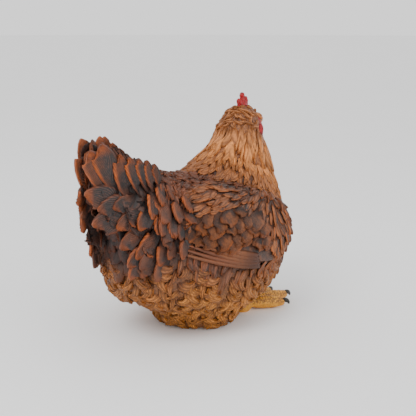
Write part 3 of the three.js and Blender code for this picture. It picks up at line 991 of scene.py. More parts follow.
def scatter(wanted, along_gap, across_gap, seed):
    """Roots on the faces of the skin where wanted is true, spaced by those gaps, in metres, along and
    across the lie of the coat. Each gap is one number or one for each point of the skin."""
    net = Skin.net
    rng = np.random.default_rng(seed + sizes().seed * 100)
    triangles = net.triangles[wanted[net.triangles].all(1)]
    a, b, c = (net.points[triangles[:, k]] for k in range(3))
    area = np.linalg.norm(np.cross(b - a, c - a), axis=1) / 2
    along_gap = np.broadcast_to(along_gap, len(net.points))
    across_gap = np.broadcast_to(across_gap, len(net.points))
    first = triangles[:, 0]
    crowd = area / (along_gap[first] * across_gap[first])
    count = int(crowd.sum() * TRIES) + 8
    pick = rng.choice(len(triangles), count, p=crowd / crowd.sum())
    s, t = rng.random((2, count, 1))
    flip = s + t > 1
    s, t = np.where(flip, 1 - s, s), np.where(flip, 1 - t, t)
    at = a[pick] + (b[pick] - a[pick]) * s + (c[pick] - a[pick]) * t
    corner = first[pick]
    lie = Skin.lie[corner]
    side = np.cross(Skin.normal[corner], lie)
    cell = float(max(along_gap[first].max(), across_gap[first].max()))
    boxes, kept = {}, []
    around = list(itertools.product((-1, 0, 1), repeat=3))
    for k, (i, j, h) in enumerate(np.floor(at / cell).astype(int).tolist()):
        near = [other for di, dj, dh in around for other in boxes.get((i + di, j + dj, h + dh), ())]
        if near:
            gap = at[near] - at[k]
            far = np.hypot(gap @ lie[k] / along_gap[corner[k]], gap @ side[k] / across_gap[corner[k]])
            facing = Skin.normal[corner[near]] @ Skin.normal[corner[k]]
            if (far[facing > SAME_SIDE] < 1).any():
                continue
        boxes.setdefault((i, j, h), []).append(k)
        kept.append(k)
    return at[kept], corner[kept], rng


def edge_lean(sideways, low):
    """From -1 to 1: how much that edge of a plume faces the tail and, by the weight low, the floor."""
    return np.clip(-2 * sideways[:, 0] - low * sideways[:, 2], -1, 1)


def varied(colour, rng, count, size):
    """So many colours, each a little darker or lighter than the given one."""
    return np.clip(colour * (1 + rng.normal(0, size, (count, 1))), 0, 1)


def dress(name, wanted, gaps, size, lift, group, material, seed, sway=0.15, vary=0.15, lean=1.0):
    """Scatters plumes over part of the skin. gaps and size are each a pair: along and across the lie. lift
    is the height of a tip. lean says how strongly the edge nearer the tail is raised and brushed."""
    at, corner, rng = scatter(wanted, *gaps, seed)
    n = len(at)
    up = Skin.normal[corner]
    side = np.cross(up, Skin.lie[corner])
    lie = unit(Skin.lie[corner] + side * rng.normal(0, sway, (n, 1)))
    long, wide, height = (np.broadcast_to(v, len(Skin.label))[corner] for v in (*size, lift))
    scale = 1 + rng.uniform(-vary, vary, n)
    lay_plumes(name, {
        "at": at,
        "up": up,
        "lie": lie,
        "size": columns(n, long * scale, wide * scale * (1 + rng.uniform(-vary, vary, n)), 1),
        "lift": height * (1 + rng.uniform(-0.25, 0.25, n)),
        "kind": rng.integers(0, len(group.objects), n),
        "tone": rng.random(n),
        "lean": lean * edge_lean(np.cross(up, lie), 2.2) * rng.uniform(0.7, 1.1, n),
        "heart": varied(Skin.heart[corner], rng, n, 0.1),
        "rim": blend(Skin.heart[corner], Skin.rim[corner], rng.uniform(0.3, 1.1, n)),
        "dusk": Skin.dusk[corner] * rng.uniform(0.5, 1.3, n),
        "home": bake_place(at / MM, up, Skin.label[corner]),
    }, group, material)


def staggered(start, steps, counts, stray, rng):
    """x and z of the places in staggered rows, each up to stray off its own place along both."""
    places = [
        (start[0] + steps[0] * (column + 0.5 * (row % 2)), start[1] + steps[1] * row)
        for row in range(counts[1])
        for column in range(counts[0])
    ]
    return np.array(places).T + rng.uniform(-stray, stray, (2, len(places)))


def lay_rows(name, face, x, z, way, size, lift, group, material, rng, tilt=0.32):
    """Lays stiff plumes at places on a side face. way is how they point along X and Z, size their length
    and width, and tilt how far one edge stands up."""
    n = len(x)
    at, up = face.at(x, z), face.outward(x, z)
    lie = np.tile([way[0], 0, way[1]], (n, 1)) + np.outer(rng.normal(0, 0.15, n), [-way[1], 0, way[0]])
    lie = laid_flat(lie, up)
    corner = Skin.nearest(at * MM)
    scale = rng.uniform(0.76, 1.24, n)
    lay_plumes(name, {
        "at": at * MM,
        "up": up,
        "lie": lie,
        "size": columns(n, size[0] * scale, size[1] * scale, 1),
        "lift": lift * rng.uniform(0.7, 1.3, n),
        "kind": rng.integers(0, len(group.objects), n),
        "tone": rng.random(n),
        "dusk": Skin.dusk[corner] * rng.uniform(0.6, 1.3, n),
        "lean": edge_lean(np.cross(up, lie), 2.6) * rng.uniform(0.8, 1.1, n),
        "heart": varied(Skin.heart[corner], rng, n, 0.12),
        "rim": blend(Skin.heart[corner], Skin.rim[corner], rng.uniform(0.1, 1.15, n)),
        "home": bake_place(at, up, Skin.label[corner]),
    }, group, material, cling=0.0, tilt=tilt)


# ---------------------------------------------------------------- the side faces


class SideFace:
    """The smooth outer face of some nodes, seen from one side of the hen: how far out it lies at each x
    and z, in millimetres."""

    step = 3.0  # between the places where the face is measured
    spreading, smoothing = 470, 30  # rounds that fill the gaps, and then smooth the whole

    def __init__(self, side, names, low, shape):
        self.side, self.low, self.shape = side, np.array(low, float), np.array(shape)
        tree = search_tree(names, MM)[0]
        out = np.full(shape, np.nan)
        for i, j in np.ndindex(*shape):
            x, z = self.low + self.step * np.array([i, j])
            hit = tree.ray_cast(Vector((x, side * 300, z)), Vector((0, -side, 0)))[0]
            if hit is not None:
                out[i, j] = side * hit.y
        known = np.isfinite(out)
        field = np.where(known, out, np.nanmean(out))
        for turn in range(self.spreading + self.smoothing):
            grown = np.pad(field, 1, mode="edge")
            mean = (grown[2:, 1:-1] + grown[:-2, 1:-1] + grown[1:-1, 2:] + grown[1:-1, :-2]) / 4
            field = np.where(known & (turn < self.spreading), out, mean)
        self.field = field

    def out(self, x, z):
        i, j = np.clip((np.stack([x, z]) - self.low[:, None]) / self.step, 0, self.shape[:, None] - 1.001)
        a, b = i.astype(int), j.astype(int)
        s, t = i - a, j - b
        f = self.field
        lower = f[a, b] * (1 - s) + f[a + 1, b] * s
        upper = f[a, b + 1] * (1 - s) + f[a + 1, b + 1] * s
        return lower * (1 - t) + upper * t

    def at(self, x, z):
        return np.stack([x, self.side * self.out(x, z), z], 1)

    def outward(self, x, z):
        wide = 8.0  # far enough to pass over small dents
        slope_x = (self.out(x + wide, z) - self.out(x - wide, z)) / (2 * wide)
        slope_z = (self.out(x, z + wide) - self.out(x, z - wide)) / (2 * wide)
        return unit(np.stack([-slope_x, self.side + 0 * x, -slope_z], 1))


class TailSide(SideFace):
    """The outer face of one half of the tail and of the body below it."""

    def __init__(self, name, side):
        super().__init__(side, ["tail_" + name, "trunk"], [-176, 54], (50, 72))

    def out(self, x, z):
        """The two halves close up towards their rear edge."""
        closing = np.maximum(13 + 0.62 * (x + 150), 4)
        out = super().out(x, z)
        return np.where(x < -118, np.minimum(out, closing), out)


# ---------------------------------------------------------------- operators


AIM = Vector((0, 0, 0.140))  # what the camera and the lights point at
CAMERA_AZIMUTH, CAMERA_ELEVATION = math.radians(-48), math.radians(13)
CAMERA_DISTANCE = 1.05


def aim(thing, place):
    """Puts a light or a camera at a place, looking at the hen."""
    thing.location = place
    thing.rotation_euler = (AIM - place).to_track_quat("-Z", "Y").to_euler()
    bpy.context.scene.collection.objects.link(thing)


def soft_box(name, place, power):
    light = bpy.data.lights.new(name, "AREA")
    light.shape, light.size, light.energy = "DISK", 1.0, power
    aim(bpy.data.objects.new(name, light), place)


class HEN_OT_stage(bpy.types.Operator):
    """Adds the pale floor, the soft studio light and the camera"""

    bl_idname = "hen.stage"
    bl_label = "Stage"

    def execute(self, context):
        scene = context.scene
        bpy.ops.mesh.primitive_circle_add(vertices=96, radius=14, fill_type="NGON", location=(0, 0, 0))
        floor = context.object
        floor.name = "floor"
        p = Paints("pale_floor")
        floor.data.materials.append(p.finish(p.mix(p.noise(3), (0.9, 0.9, 0.9), (0.93, 0.93, 0.93)), 0.8))
        world = bpy.data.worlds.new("studio")
        world.use_nodes = True
        sky = world.node_tree.nodes["Background"]
        sky.inputs["Color"].default_value = (1, 1, 1, 1)
        sky.inputs["Strength"].default_value = 1.3
        scene.world = world
        right = Vector((math.cos(CAMERA_AZIMUTH), math.sin(CAMERA_AZIMUTH), 0))
        level = Vector((right.y, -right.x, 0)) * math.cos(CAMERA_ELEVATION)
        towards = level + Vector((0, 0, math.sin(CAMERA_ELEVATION)))  # from the hen to the camera
        data = bpy.data.cameras.new("camera")
        data.lens, data.sensor_width = 74.5, 36
        data.shift_x, data.shift_y = 0.0535, 0.0072
        scene.camera = bpy.data.objects.new("camera", data)
        aim(scene.camera, AIM + towards * CAMERA_DISTANCE)
        soft_box("key", AIM + towards * 1.1 - right * 0.7 + Vector((0, 0, 1.1)), 14)
        soft_box("fill", AIM + towards * 1.0 + right * 1.1 + Vector((0, 0, 0.5)), 5)
        return {"FINISHED"}


class HEN_OT_skin(bpy.types.Operator):
    """Makes the one skin that stands for the flesh"""

    bl_idname = "hen.skin"
    bl_label = "Skin"

    def execute(self, context):
        make_skin()
        return {"FINISHED"}


class HEN_OT_body_feathers(bpy.types.Operator):
    """Lays the back, breast and flank feathers"""

    bl_idname = "hen.body_feathers"
    bl_label = "Body feathers"

    def execute(self, context):
        place = Skin.net.points / MM
        x, y, z = place.T
        label, body = Skin.label, Skin.label == TRUNK
        leaves = plume_set(
            "leaf", STATIONS, LEAF_ACROSS,
            (FLAME, wave(0.16), domed(0.35, 0.0, 0.12)),
            (FLAME, wave(-0.16), domed(0.4, 0.0, 0.12)),
            (LEAF, wave(0.08), domed(0.35, 0.1, 0.1)),
        )
        collar = (label == NECK) & (above_neck_foot(place) < COLLAR + 10)
        hung = body & (x < hanging_front(z) - 4) & (z < 192) & (z > hanging_low(x) - 14)
        rump = np.isin(label, TAILS) & (Skin.normal[:, 2] > 0.3) & (abs(y) < 40) & (x > -96) & (z > 176)
        back = (body & (z > np.where(x < -45, 150, 132)) & (x < 85) & ~hung) | collar | rump
        breast = body & (z > 52) & (x >= 60) & ~back
        flank = body & (z > fluff_top(x) + 10) & (x < 60) & ~back & ~hung
        flank |= np.isin(label, WINGS) & (x > 22) & (z < wing_foot(x))
        brushed = feather_paint("back_feather_paint", hairs=3, comb_share=0.5, relief=0.0007)
        pointed = feather_paint("breast_feather_paint", hairs=3, comb_share=0.45, relief=0.0007)
        dress("back_feathers", back, gaps=(0.0076, 0.0042), size=(sizes().back_length, 0.0072), lift=0.0036,
              group=leaves, material=brushed, seed=1, sway=0.14, lean=0.7)
        long, lift = sizes().breast_length, blend(0.0044, 0.0069, ramp(x, 80, 120))
        dress("breast_feathers", breast, gaps=(0.0098, 0.0048), size=(long, 0.0078), lift=lift,
              group=leaves, material=pointed, seed=2, lean=0.9)
        dress("flank_feathers", flank, gaps=(0.0098, 0.0056), size=(long, 0.0088), lift=0.0038,
              group=leaves, material=pointed, seed=3, lean=0.9)
        clear_set(leaves)
        return {"FINISHED"}


class HEN_OT_hanging_feathers(bpy.types.Operator):
    """Lays the cupped feathers that hang below the tail, and the ones in its hollow, dark partly with the
    painted shade of the skin there
    """

    bl_idname = "hen.hanging_feathers"
    bl_label = "Hanging feathers"

    def execute(self, context):
        x, y, z = Skin.net.points.T / MM
        drops = plume_set(
            "drop", STATIONS, VANE_ACROSS,
            (DROP, wave(0.14), domed(0.34, 0.24, 0.08)),
            (SCALLOP, wave(-0.12), domed(0.4, 0.15, 0.08)),
            (SCALLOP, wave(0.1), domed(0.38, 0.24, 0.05)),
        )
        cupped = feather_paint("hanging_feather_paint", lines=8, vee=0.8)
        for name, side in SIDES:
            self.rows(name, side, drops, cupped)
        rump = np.isin(Skin.label, [TRUNK, *TAILS]) & (z > fluff_top(x)) & (z < 178)
        # The hollow at the rear of the rump: the skin's colours here carry the painted shade of the tail's
        # hollow.
        hollow = rump & (x < -88) & (abs(y) < 42) & (Skin.normal[:, 0] < -0.3)
        dress("hollow_feathers", hollow, gaps=(0.0115, 0.0078), size=(0.026, 0.0135), lift=0.0052,
              group=drops, material=cupped, seed=4, vary=0.2, sway=0.25)
        clear_set(drops)
        return {"FINISHED"}

    def rows(self, name, side, drops, material):
        """Staggered rows down each flank of the rump, from the tail's root to the fluff."""
        rng = np.random.default_rng(40 + side + sizes().seed)
        x, z = staggered(start=(-46, 191), steps=(-12.5, -14.5), counts=(7, 10), stray=3.6, rng=rng)
        rosette_edge = -94 - 27 * ramp(150 - z, 0, 36)
        kept = (z > hanging_low(x)) & (x > rosette_edge) & (x < hanging_front(z))
        lay_rows("hanging_feathers_" + name, TailSide(name, side), x[kept], z[kept], way=(-0.24, -1.0),
                 size=(sizes().hanging_length, 0.0176), lift=0.0062,
                 group=drops, material=material, rng=rng)


class HEN_OT_fluff(bpy.types.Operator):
    """Lays the curly locks of the thighs and the belly"""

    bl_idname = "hen.fluff"
    bl_label = "Fluff"

    def execute(self, context):
        x, _, z = Skin.net.points.T / MM
        low = np.isin(Skin.label, [TRUNK, *TAILS]) & (z <= fluff_top(x) + 6) & (z > 3) & (x < 94)
        locks = plume_set(
            "lock", CURL_STATIONS, LOCK_ACROSS,
            (COMMA, curl(2.6), domed(0.6), 0.62),
            (COMMA, curl(-2.4), domed(0.6), 0.58),
            (COMMA, curl(1.2), domed(0.55), 0.5),
            (STRAND, curl(-0.8), domed(0.5), 0.4),
        )
        hairs = feather_paint("fluff_paint", hairs=4, edge=0.3, rim_share=0.9, comb_share=0.9,
                              relief=0.0012)
        long = sizes().fluff_length * blend(0.4, 1.0, ramp(z, 2, 20))
        lift = blend(0.0028, 0.005, ramp(z, 8, 40))
        dress("fluff_locks", low, gaps=(0.0095, 0.0076), size=(long, long), lift=lift,
              group=locks, material=hairs, seed=5, sway=0.45, vary=0.2, lean=0.5)
        clear_set(locks)
        return {"FINISHED"}


class HEN_OT_hackle(bpy.types.Operator):
    """Lays the long wavy feathers of the neck"""

    bl_idname = "hen.hackle"
    bl_label = "Hackle"

    def execute(self, context):
        strands = plume_set(
            "strand", STATIONS, LOCK_ACROSS,
            (STRAND, wave(0.7), domed(0.9), 1.0, 0.7),
            (STRAND, wave(-0.8), domed(0.9), 1.0, 0.7),
            (STRAND, wave(0.3), domed(0.8), 1.0, 0.7),
        )
        hairs = feather_paint("hackle_paint", hairs=2, edge=0.3, rim_share=0.7, comb_share=0.5, groove=0.55,
                              relief=0.0007)
        long = sizes().hackle_length
        place = Skin.net.points / MM
        neck = (Skin.label == NECK) & (above_neck_foot(place) > COLLAR + 0.8 * long / MM - 3)
        neck |= (Skin.label == HEAD) & (place[:, 2] < CAP_EDGE + 1) & (Skin.face < 0.1)
        for side, _ in SIDES:
            lobe = middle_of("earlobe_" + side) / MM
            neck &= np.linalg.norm((place - lobe) / [1, 1, 1.5], axis=1) > 8.5
        dress("hackle_feathers", neck, gaps=(0.0092, 0.0030), size=(long, 0.0048), lift=0.0024,
              group=strands, material=hairs, seed=6, sway=0.13, lean=0.5)
        clear_set(strands)
        return {"FINISHED"}


class HEN_OT_head_tufts(bpy.types.Operator):
    """Lays the short tufts of the head"""

    bl_idname = "hen.head_tufts"
    bl_label = "Head tufts"

    def execute(self, context):
        tufts = plume_set(
            "tuft", STATIONS, LOCK_ACROSS,
            (STRAND, wave(0.4), domed(0.6), 0.4),
            (COMMA, curl(-1.3), domed(0.6), 0.42),
            (COMMA, curl(1.3), domed(0.6), 0.42),
        )
        hairs = feather_paint("head_paint", hairs=2, comb_share=0.6, groove=0.7)
        z = Skin.net.points[:, 2] / MM
        cap = (Skin.label == HEAD) & (Skin.face < 0.2) & (z > CAP_EDGE)
        lift = blend(0.0036, 0.0024, ramp(z, CAP_EDGE, CAP_EDGE + 6))
        dress("head_tufts", cap, gaps=(0.0062, 0.0036), size=(0.0135, 0.0135), lift=lift,
              group=tufts, material=hairs, seed=7, sway=0.4, lean=0.3)
        clear_set(tufts)
        return {"FINISHED"}


class HEN_OT_wing_feathers(bpy.types.Operator):
    """Lays the coverts of the wings, and the quills along their lower edge"""

    bl_idname = "hen.wing_feathers"
    bl_label = "Wing feathers"

    def execute(self, context):
        coverts = plume_set(
            "covert", STATIONS, VANE_ACROSS,
            (DROP, wave(0.15), domed(0.17, 0.0, 0.1)),
            (LEAF, wave(-0.15), domed(0.17, 0.05, 0.1)),
        )
        slender = plume_set(
            "shoulder", STATIONS, LEAF_ACROSS,
            (FLAME, wave(0.16), domed(0.35, 0.0, 0.12)),
            (LEAF, wave(-0.16), domed(0.4, 0.0, 0.12)),
        )
        barbed = feather_paint("wing_feather_paint", lines=7, vee=1.1, edge=0.4, comb_share=0.9, groove=0.6,
                               relief=0.0015, tip=1.2)
        haired = feather_paint("shoulder_feather_paint", hairs=3, comb_share=0.5, relief=0.0007)
        smooth = feather_paint("wing_quill_paint", hairs=1, edge=0.6, rim_share=0.7)
        x, _, z = Skin.net.points.T / MM
        upper = np.maximum(ramp(z, 140, 164), ramp(x, 40, 70))
        for (name, side), label in zip(SIDES, WINGS):
            face = SideFace(side, ["wing_" + name, "trunk"], [-110, 60], (60, 40))
            self.coverts(name, face, label, coverts, barbed)
            shoulder = (Skin.label == label) & (z > wing_foot(x) - 4) & (upper >= 0.4)
            dress("shoulder_feathers_" + name, shoulder, gaps=(0.0088, 0.0048),
                  size=(0.025, blend(0.0105, 0.0078, upper)), lift=0.0034,
                  group=slender, material=haired, seed=14 + label)
            lay_quills("wing_quills_" + name, face, smooth)
        clear_set(coverts)
        clear_set(slender)
        return {"FINISHED"}

    def coverts(self, name, face, label, group, material):
        """Staggered rows of broad coverts over the middle of the wing."""
        rng = np.random.default_rng(80 + label + sizes().seed)
        x, z = staggered(start=(56, 152), steps=(-15, -9.5), counts=(8, 5), stray=1.4, rng=rng)
        kept = (z > 117 - 0.3 * x) & (z < 155 - 0.1 * x) & ((z > 119) | (x > 34))
        lay_rows("wing_feathers_" + name, face, x[kept], z[kept], way=(-0.93, -0.34),
                 size=(sizes().wing_length, 0.0178), lift=0.0034,
                 group=group, material=material, rng=rng, tilt=0.2)


# The quills of a wing, in millimetres.
QUILLS = 5
QUILL_STATIONS = 26  # how many rings of points each has
QUILL_SAG = 3.5  # how far the middle of a quill hangs below the line from its root to its tip
QUILL_HALF = 4.4  # half its width near the root
QUILL_RISE = 0.5  # how much further out each quill lies than the one below it
QUILL_UNDER = -2.5  # how far in its underside lies


def lay_quills(name, face, material):
    """Long quills side by side. Their roots are low at the front, and they close up at the rear."""
    s = np.linspace(0, 1, QUILL_STATIONS)
    across = np.array([*LEAF_ACROSS, 0.0])
    under = np.arange(len(across)) == len(LEAF_ACROSS)  # the last row runs inside, below the shaft
    half = QUILL_HALF * (1 - 0.55 * s) * np.sin(np.pi * (0.06 + 0.93 * s)) ** 0.4
    rounding = np.sin(np.pi * (0.04 + 0.92 * s)) ** 0.5
    points, faces, homes = [], [], []
    for k in range(QUILLS):
        root, tip = np.array([26 - 2 * k, 83 + 4.0 * k]), np.array([-86 + 7 * k, 118 + 3.2 * k])
        ahead = (tip - root) / np.linalg.norm(tip - root)
        upward = np.array([ahead[1], -ahead[0]])
        line = root + np.outer(s, tip - root) - np.outer(QUILL_SAG * np.sin(np.pi * s), upward)
        place = line[:, None] + upward * np.outer(half, across)[:, :, None]
        height = np.where(under, QUILL_UNDER, 1.2 + QUILL_RISE * k + 1.5 * (1 - across**2) - 1.1 * across)
        x, z = place.reshape(-1, 2).T
        out = face.out(x, z) + np.outer(rounding, height).ravel()
        faces += ring_faces(len(points) * len(x), len(s), len(across))
        points.append(np.stack([x, face.side * out, z], 1))
        homes.append(np.tile(points[-1][: len(across)].mean(0), (len(x), 1)))
    points, homes = np.concatenate(points), np.concatenate(homes)
    mesh = closed_mesh(name, points * MM, faces)
    corner = Skin.nearest(points * MM)
    ones = np.ones(len(points))
    along, cross = (np.tile(v.ravel(), QUILLS) for v in np.meshgrid(s, across, indexing="ij"))
    store(mesh, along=along, across=cross, lean=-0.8 * ones, tone=0.5 * ones, dusk=0.25 * ones,
          heart=Skin.heart[corner], rim=Skin.rim[corner])
    home = bake_place(homes, Skin.normal[Skin.nearest(homes * MM)], np.full(len(points), TRUNK))
    add_bake_map(mesh, feather_patch(home, along, cross)[corners_of(mesh)])
    new_piece(name, mesh, material)


# The big feathers on the outer face of each half of the tail: root and tip along X and Z in millimetres,
# the width, and how far out the layer lies.
TAIL_OUTER = [
    ((-138, 178), (-163, 229), 25, -1.0),
    ((-128, 180), (-154, 235), 29, 0.4),
    ((-122, 180), (-134, 224), 20, 2.0),
    ((-112, 180), (-122, 220), 19, 3.0),
    ((-101, 181), (-110, 217), 18, 3.4),
    ((-90, 182), (-98, 213), 17, 3.4),
    ((-79, 181), (-86, 208), 16, 3.0),
    ((-122, 186), (-164, 181), 27, 1.0),
    ((-121, 186), (-151, 165), 23, 2.6),
    ((-116, 176), (-154, 147), 30, 0.6),
    ((-115, 187), (-137, 167), 19, 4.0),
    ((-108, 176), (-132, 144), 22, 2.6),
    ((-110, 156), (-129, 122), 20, 1.4),
    ((-100, 148), (-116, 112), 20, 2.2),
    ((-112, 134), (-122, 102), 19, 0.4),
    ((-98, 188), (-105, 155), 17, 3.6),
    ((-85, 193), (-89, 165), 17, 4.2),
    ((-107, 170), (-114, 144), 19, 2.2),
    ((-94, 165), (-99, 138), 18, 2.8),
    ((-81, 158), (-84, 132), 17, 3.4),
]
# The soft feathers on the inner face, painted dark as painted shade inside the tail, and how far inside the
# outer face they lie.
TAIL_INNER = [
    ((-126, 172), (-151, 234), 42, 5.0),
    ((-118, 172), (-136, 233), 36, 5.5),
    ((-110, 176), (-121, 229), 30, 6.0),
    ((-100, 178), (-108, 225), 26, 7.0),
    ((-90, 180), (-97, 219), 24, 8.0),
    ((-78, 180), (-85, 211), 22, 9.0),
    ((-122, 186), (-161, 186), 30, 7.5),
    ((-118, 178), (-152, 158), 28, 7.5),
    ((-114, 168), (-138, 136), 26, 7.5),
    ((-110, 150), (-126, 114), 24, 7.0),
]
# How much further the highest feathers of the left half reach, along X and Z.
LEFT_RISE = np.array([(4, -4), (15, 6), (24, 13), (21, 15), (14, 12), (10, 14), (8, 12), (4, 0)])
TAIL_RELIEF = 0.0062


class HEN_OT_tail_feathers(bpy.types.Operator):
    """Lays the big feathers of the tail, on both faces of its two halves"""

    bl_idname = "hen.tail_feathers"
    bl_label = "Tail feathers"

    def execute(self, context):
        petals = plume_set(
            "petal",
            [0, 0.08, 0.18, 0.3, 0.42, 0.54, 0.66, 0.76, 0.85, 0.92, 0.97, 1],
            [1, 0.93, 0.82, 0.66, 0.45, 0.22, 0, -0.22, -0.45, -0.66, -0.82, -0.93, -1],
            (SCALLOP, wave(0.13), domed(0.1, 0.38, 0.16)),
            (DROP, wave(0.1), domed(0.2, 0.3, 0.14)),
        )
        laced = feather_paint("tail_feather_paint", lines=9, vee=0.7, edge=0.62, rim_share=1.1,
                              relief=0.0007)
        for (name, side), label in zip(SIDES, TAILS):
            face = TailSide(name, side)
            self.lay("tail_feathers_" + name, face, label, TAIL_OUTER, petals, laced)
            self.lay("tail_lining_" + name, face, label, TAIL_INNER, petals, laced, inner=True)
        clear_set(petals)
        return {"FINISHED"}

    def lay(self, name, face, label, feathers, petals, material, inner=False):
        rng = np.random.default_rng(60 + face.side + sizes().seed)
        root, tip, width, layer = (np.array(part, float) for part in zip(*feathers))
        if face.side > 0 and not inner:
            tip[: len(LEFT_RISE)] += LEFT_RISE
        n = len(feathers)
        up = face.outward(*((root + tip) / 2).T)
        if inner:
            up = -up
        root, tip = (face.at(*end.T) + up * layer[:, None] for end in (root, tip))
        lie = unit(tip - root)
        up = laid_flat(up, lie)
        rust, brown, slate, umber_shade = (np.array(colours_now(c)) for c in ("rust", "brown", "slate", "umber_shade"))
        heart, rim = blend(brown, slate, 0.4), rust
        if inner:
            # Painted shade: the lining is dark umber low in the tail's hollow, and browner where its tips
            # reach the top.
            heart = blend(blend(umber_shade, brown, 0.35), brown, ramp(tip[:, 2], 205, 235))
            rim = blend(heart, rust, 0.4)
        lay_plumes(name, {
            "at": root * MM,
            "up": up,
            "lie": lie,
            "size": columns(n, np.linalg.norm(tip - root, axis=1) * MM, width * MM, 1),
            "lift": np.full(n, TAIL_RELIEF * (0.5 if inner else 1)),
            "kind": np.zeros(n, int) if inner else rng.integers(0, 2, n),
            "tone": rng.random(n),
            "dusk": np.full(n, 0.35 if inner else 1.0),
            "lean": edge_lean(np.cross(up, lie), 0.8),
            "heart": varied(heart, rng, n, 0.08),
            "rim": varied(rim, rng, n, 0.08),
            "home": bake_place(root, up, np.full(n, label)),
        }, petals, material, cling=0.0)


FINE = 0.0006  # the edge of one face of the small finished copies, in metres


def smooth_copy(name, nodes, turns, swell=0.0, grain=FINE):
    """A smooth, closed mesh in the place of some nodes, as arrays that are still to be written."""
    net = Net(remeshed(swollen_copy(nodes, swell), grain, name))
    net.points = net.soften(net.points, turns, 0.5)
    return net


def lumps(net, size, height):
    """Raises soft lumps of that size on a mesh. Both are in metres."""
    rise = np.array([noise.noise(Vector(place / size)) for place in net.points])
    net.points = net.points + net.normals() * (rise * height)[:, None]


def finish_copy(net, name, slot, material, *nodes):
    """Makes a smooth copy a piece that stands for its nodes."""
    net.write()
    shade_smooth(net.mesh)
    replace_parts(new_piece(name, net.mesh, material), *nodes)


def flesh_paint():
    """Satin red with fine pits, painted darker in the pits as painted shade, and darker where its darkening
    attribute says: painted shade at the foot of the comb, and the lower ends of the wattles and earlobes
    darker.
    """
    p = Paints("red_flesh")
    grain = p.noise(520, 4)
    pits = p.cells(900)
    base = p.mix(p.fit(p.noise(160), 0.35, 0.65), colours_now("red"), shaded("red", 0.62))
    base = p.mix(p.times(p.fit(grain, 0.52, 0.72), 0.35), base, (0.75, 0.12, 0.08))
    # Painted shade in the low pits, together with the darkening that the attribute gives.
    dark = p.larger(p.times(p.fit(pits, 0.35, 0.7), 0.5), p.read("wash"))
    base = p.mix(dark, base, shaded("red", 0.16))
    height = p.times_plus(grain, 0.7, p.times(pits, -0.6))
    return p.finish(base, p.times_plus(grain, 0.2, 0.3), p.bump(height, 0.0005), **SATIN)


def horn_paint():
    """Horn with streaks that run out along the beak, near black in the sunken nostrils as painted shade."""
    p = Paints("beak_horn")
    streaks = p.noise(900, vector=p.vector_math("MULTIPLY", p.place(), (0.2, 1, 1)))
    base = p.mix(p.fit(streaks, 0.4, 0.62), shaded("ochre", 0.9), colours_now("wash"))
    # Painted shade: near black in the sunken nostrils.
    base = p.mix(p.read("wash"), base, (0.02, 0.014, 0.01))
    return p.finish(base, p.times_plus(p.noise(600), 0.2, 0.25), p.bump(streaks, 0.0003), **SATIN)


def eye_paint(centre, axis):
    """Rings about the eye's own axis: a black pupil, an orange iris with fine rays, a dark rim."""
    p = Paints("eye_paint")
    offset = p.vector_math("SUBTRACT", p.place(), centre)
    radius = p.vector_math("LENGTH", p.vector_math("CROSS_PRODUCT", offset, axis))
    grain = p.noise(1500)
    iris = p.mix(grain, (0.5, 0.13, 0.02), (0.75, 0.28, 0.05))
    base = p.mix(p.fit(radius, 0.0029, 0.0034), iris, (0.03, 0.015, 0.01))
    base = p.mix(p.fit(radius, 0.0014, 0.0017), (0.004, 0.004, 0.004), base)
    return p.finish(base, p.times_plus(grain, 0.06, 0.08), **{"Coat Weight": 0.6})


def lid_paint():
    p = Paints("eyelid_paint")
    grain = p.noise(700, 4)
    base = p.mix(p.fit(grain, 0.4, 0.6), mixed("gold", "red", 0.25), mixed("rust", "red", 0.4))
    return p.finish(base, p.times_plus(grain, 0.2, 0.35), p.bump(grain, 0.0003), **SATIN)


LUMP = 0.0034  # the size of the soft lumps in the red flesh
NOSTRIL = np.array([0.009, 0.0028, -0.0022])  # from the beak's back, its middle and its top
NOSTRIL_LONG, NOSTRIL_HIGH = 0.0016, 0.0009  # half its length and height
NOSTRIL_DEPTH = 0.0005
LID_ROUND, LID_THICK_ROUND = 32, 8  # how many points go round the eye, and round the fold itself
LID_RADIUS, LID_OUT = 0.0034, 0.0028  # the fold's radius round the eye, and how far out from its middle
LID_THICK, LID_HEAVIER = 0.0009, 0.0004  # half its thickness, and how much more that is above the eye


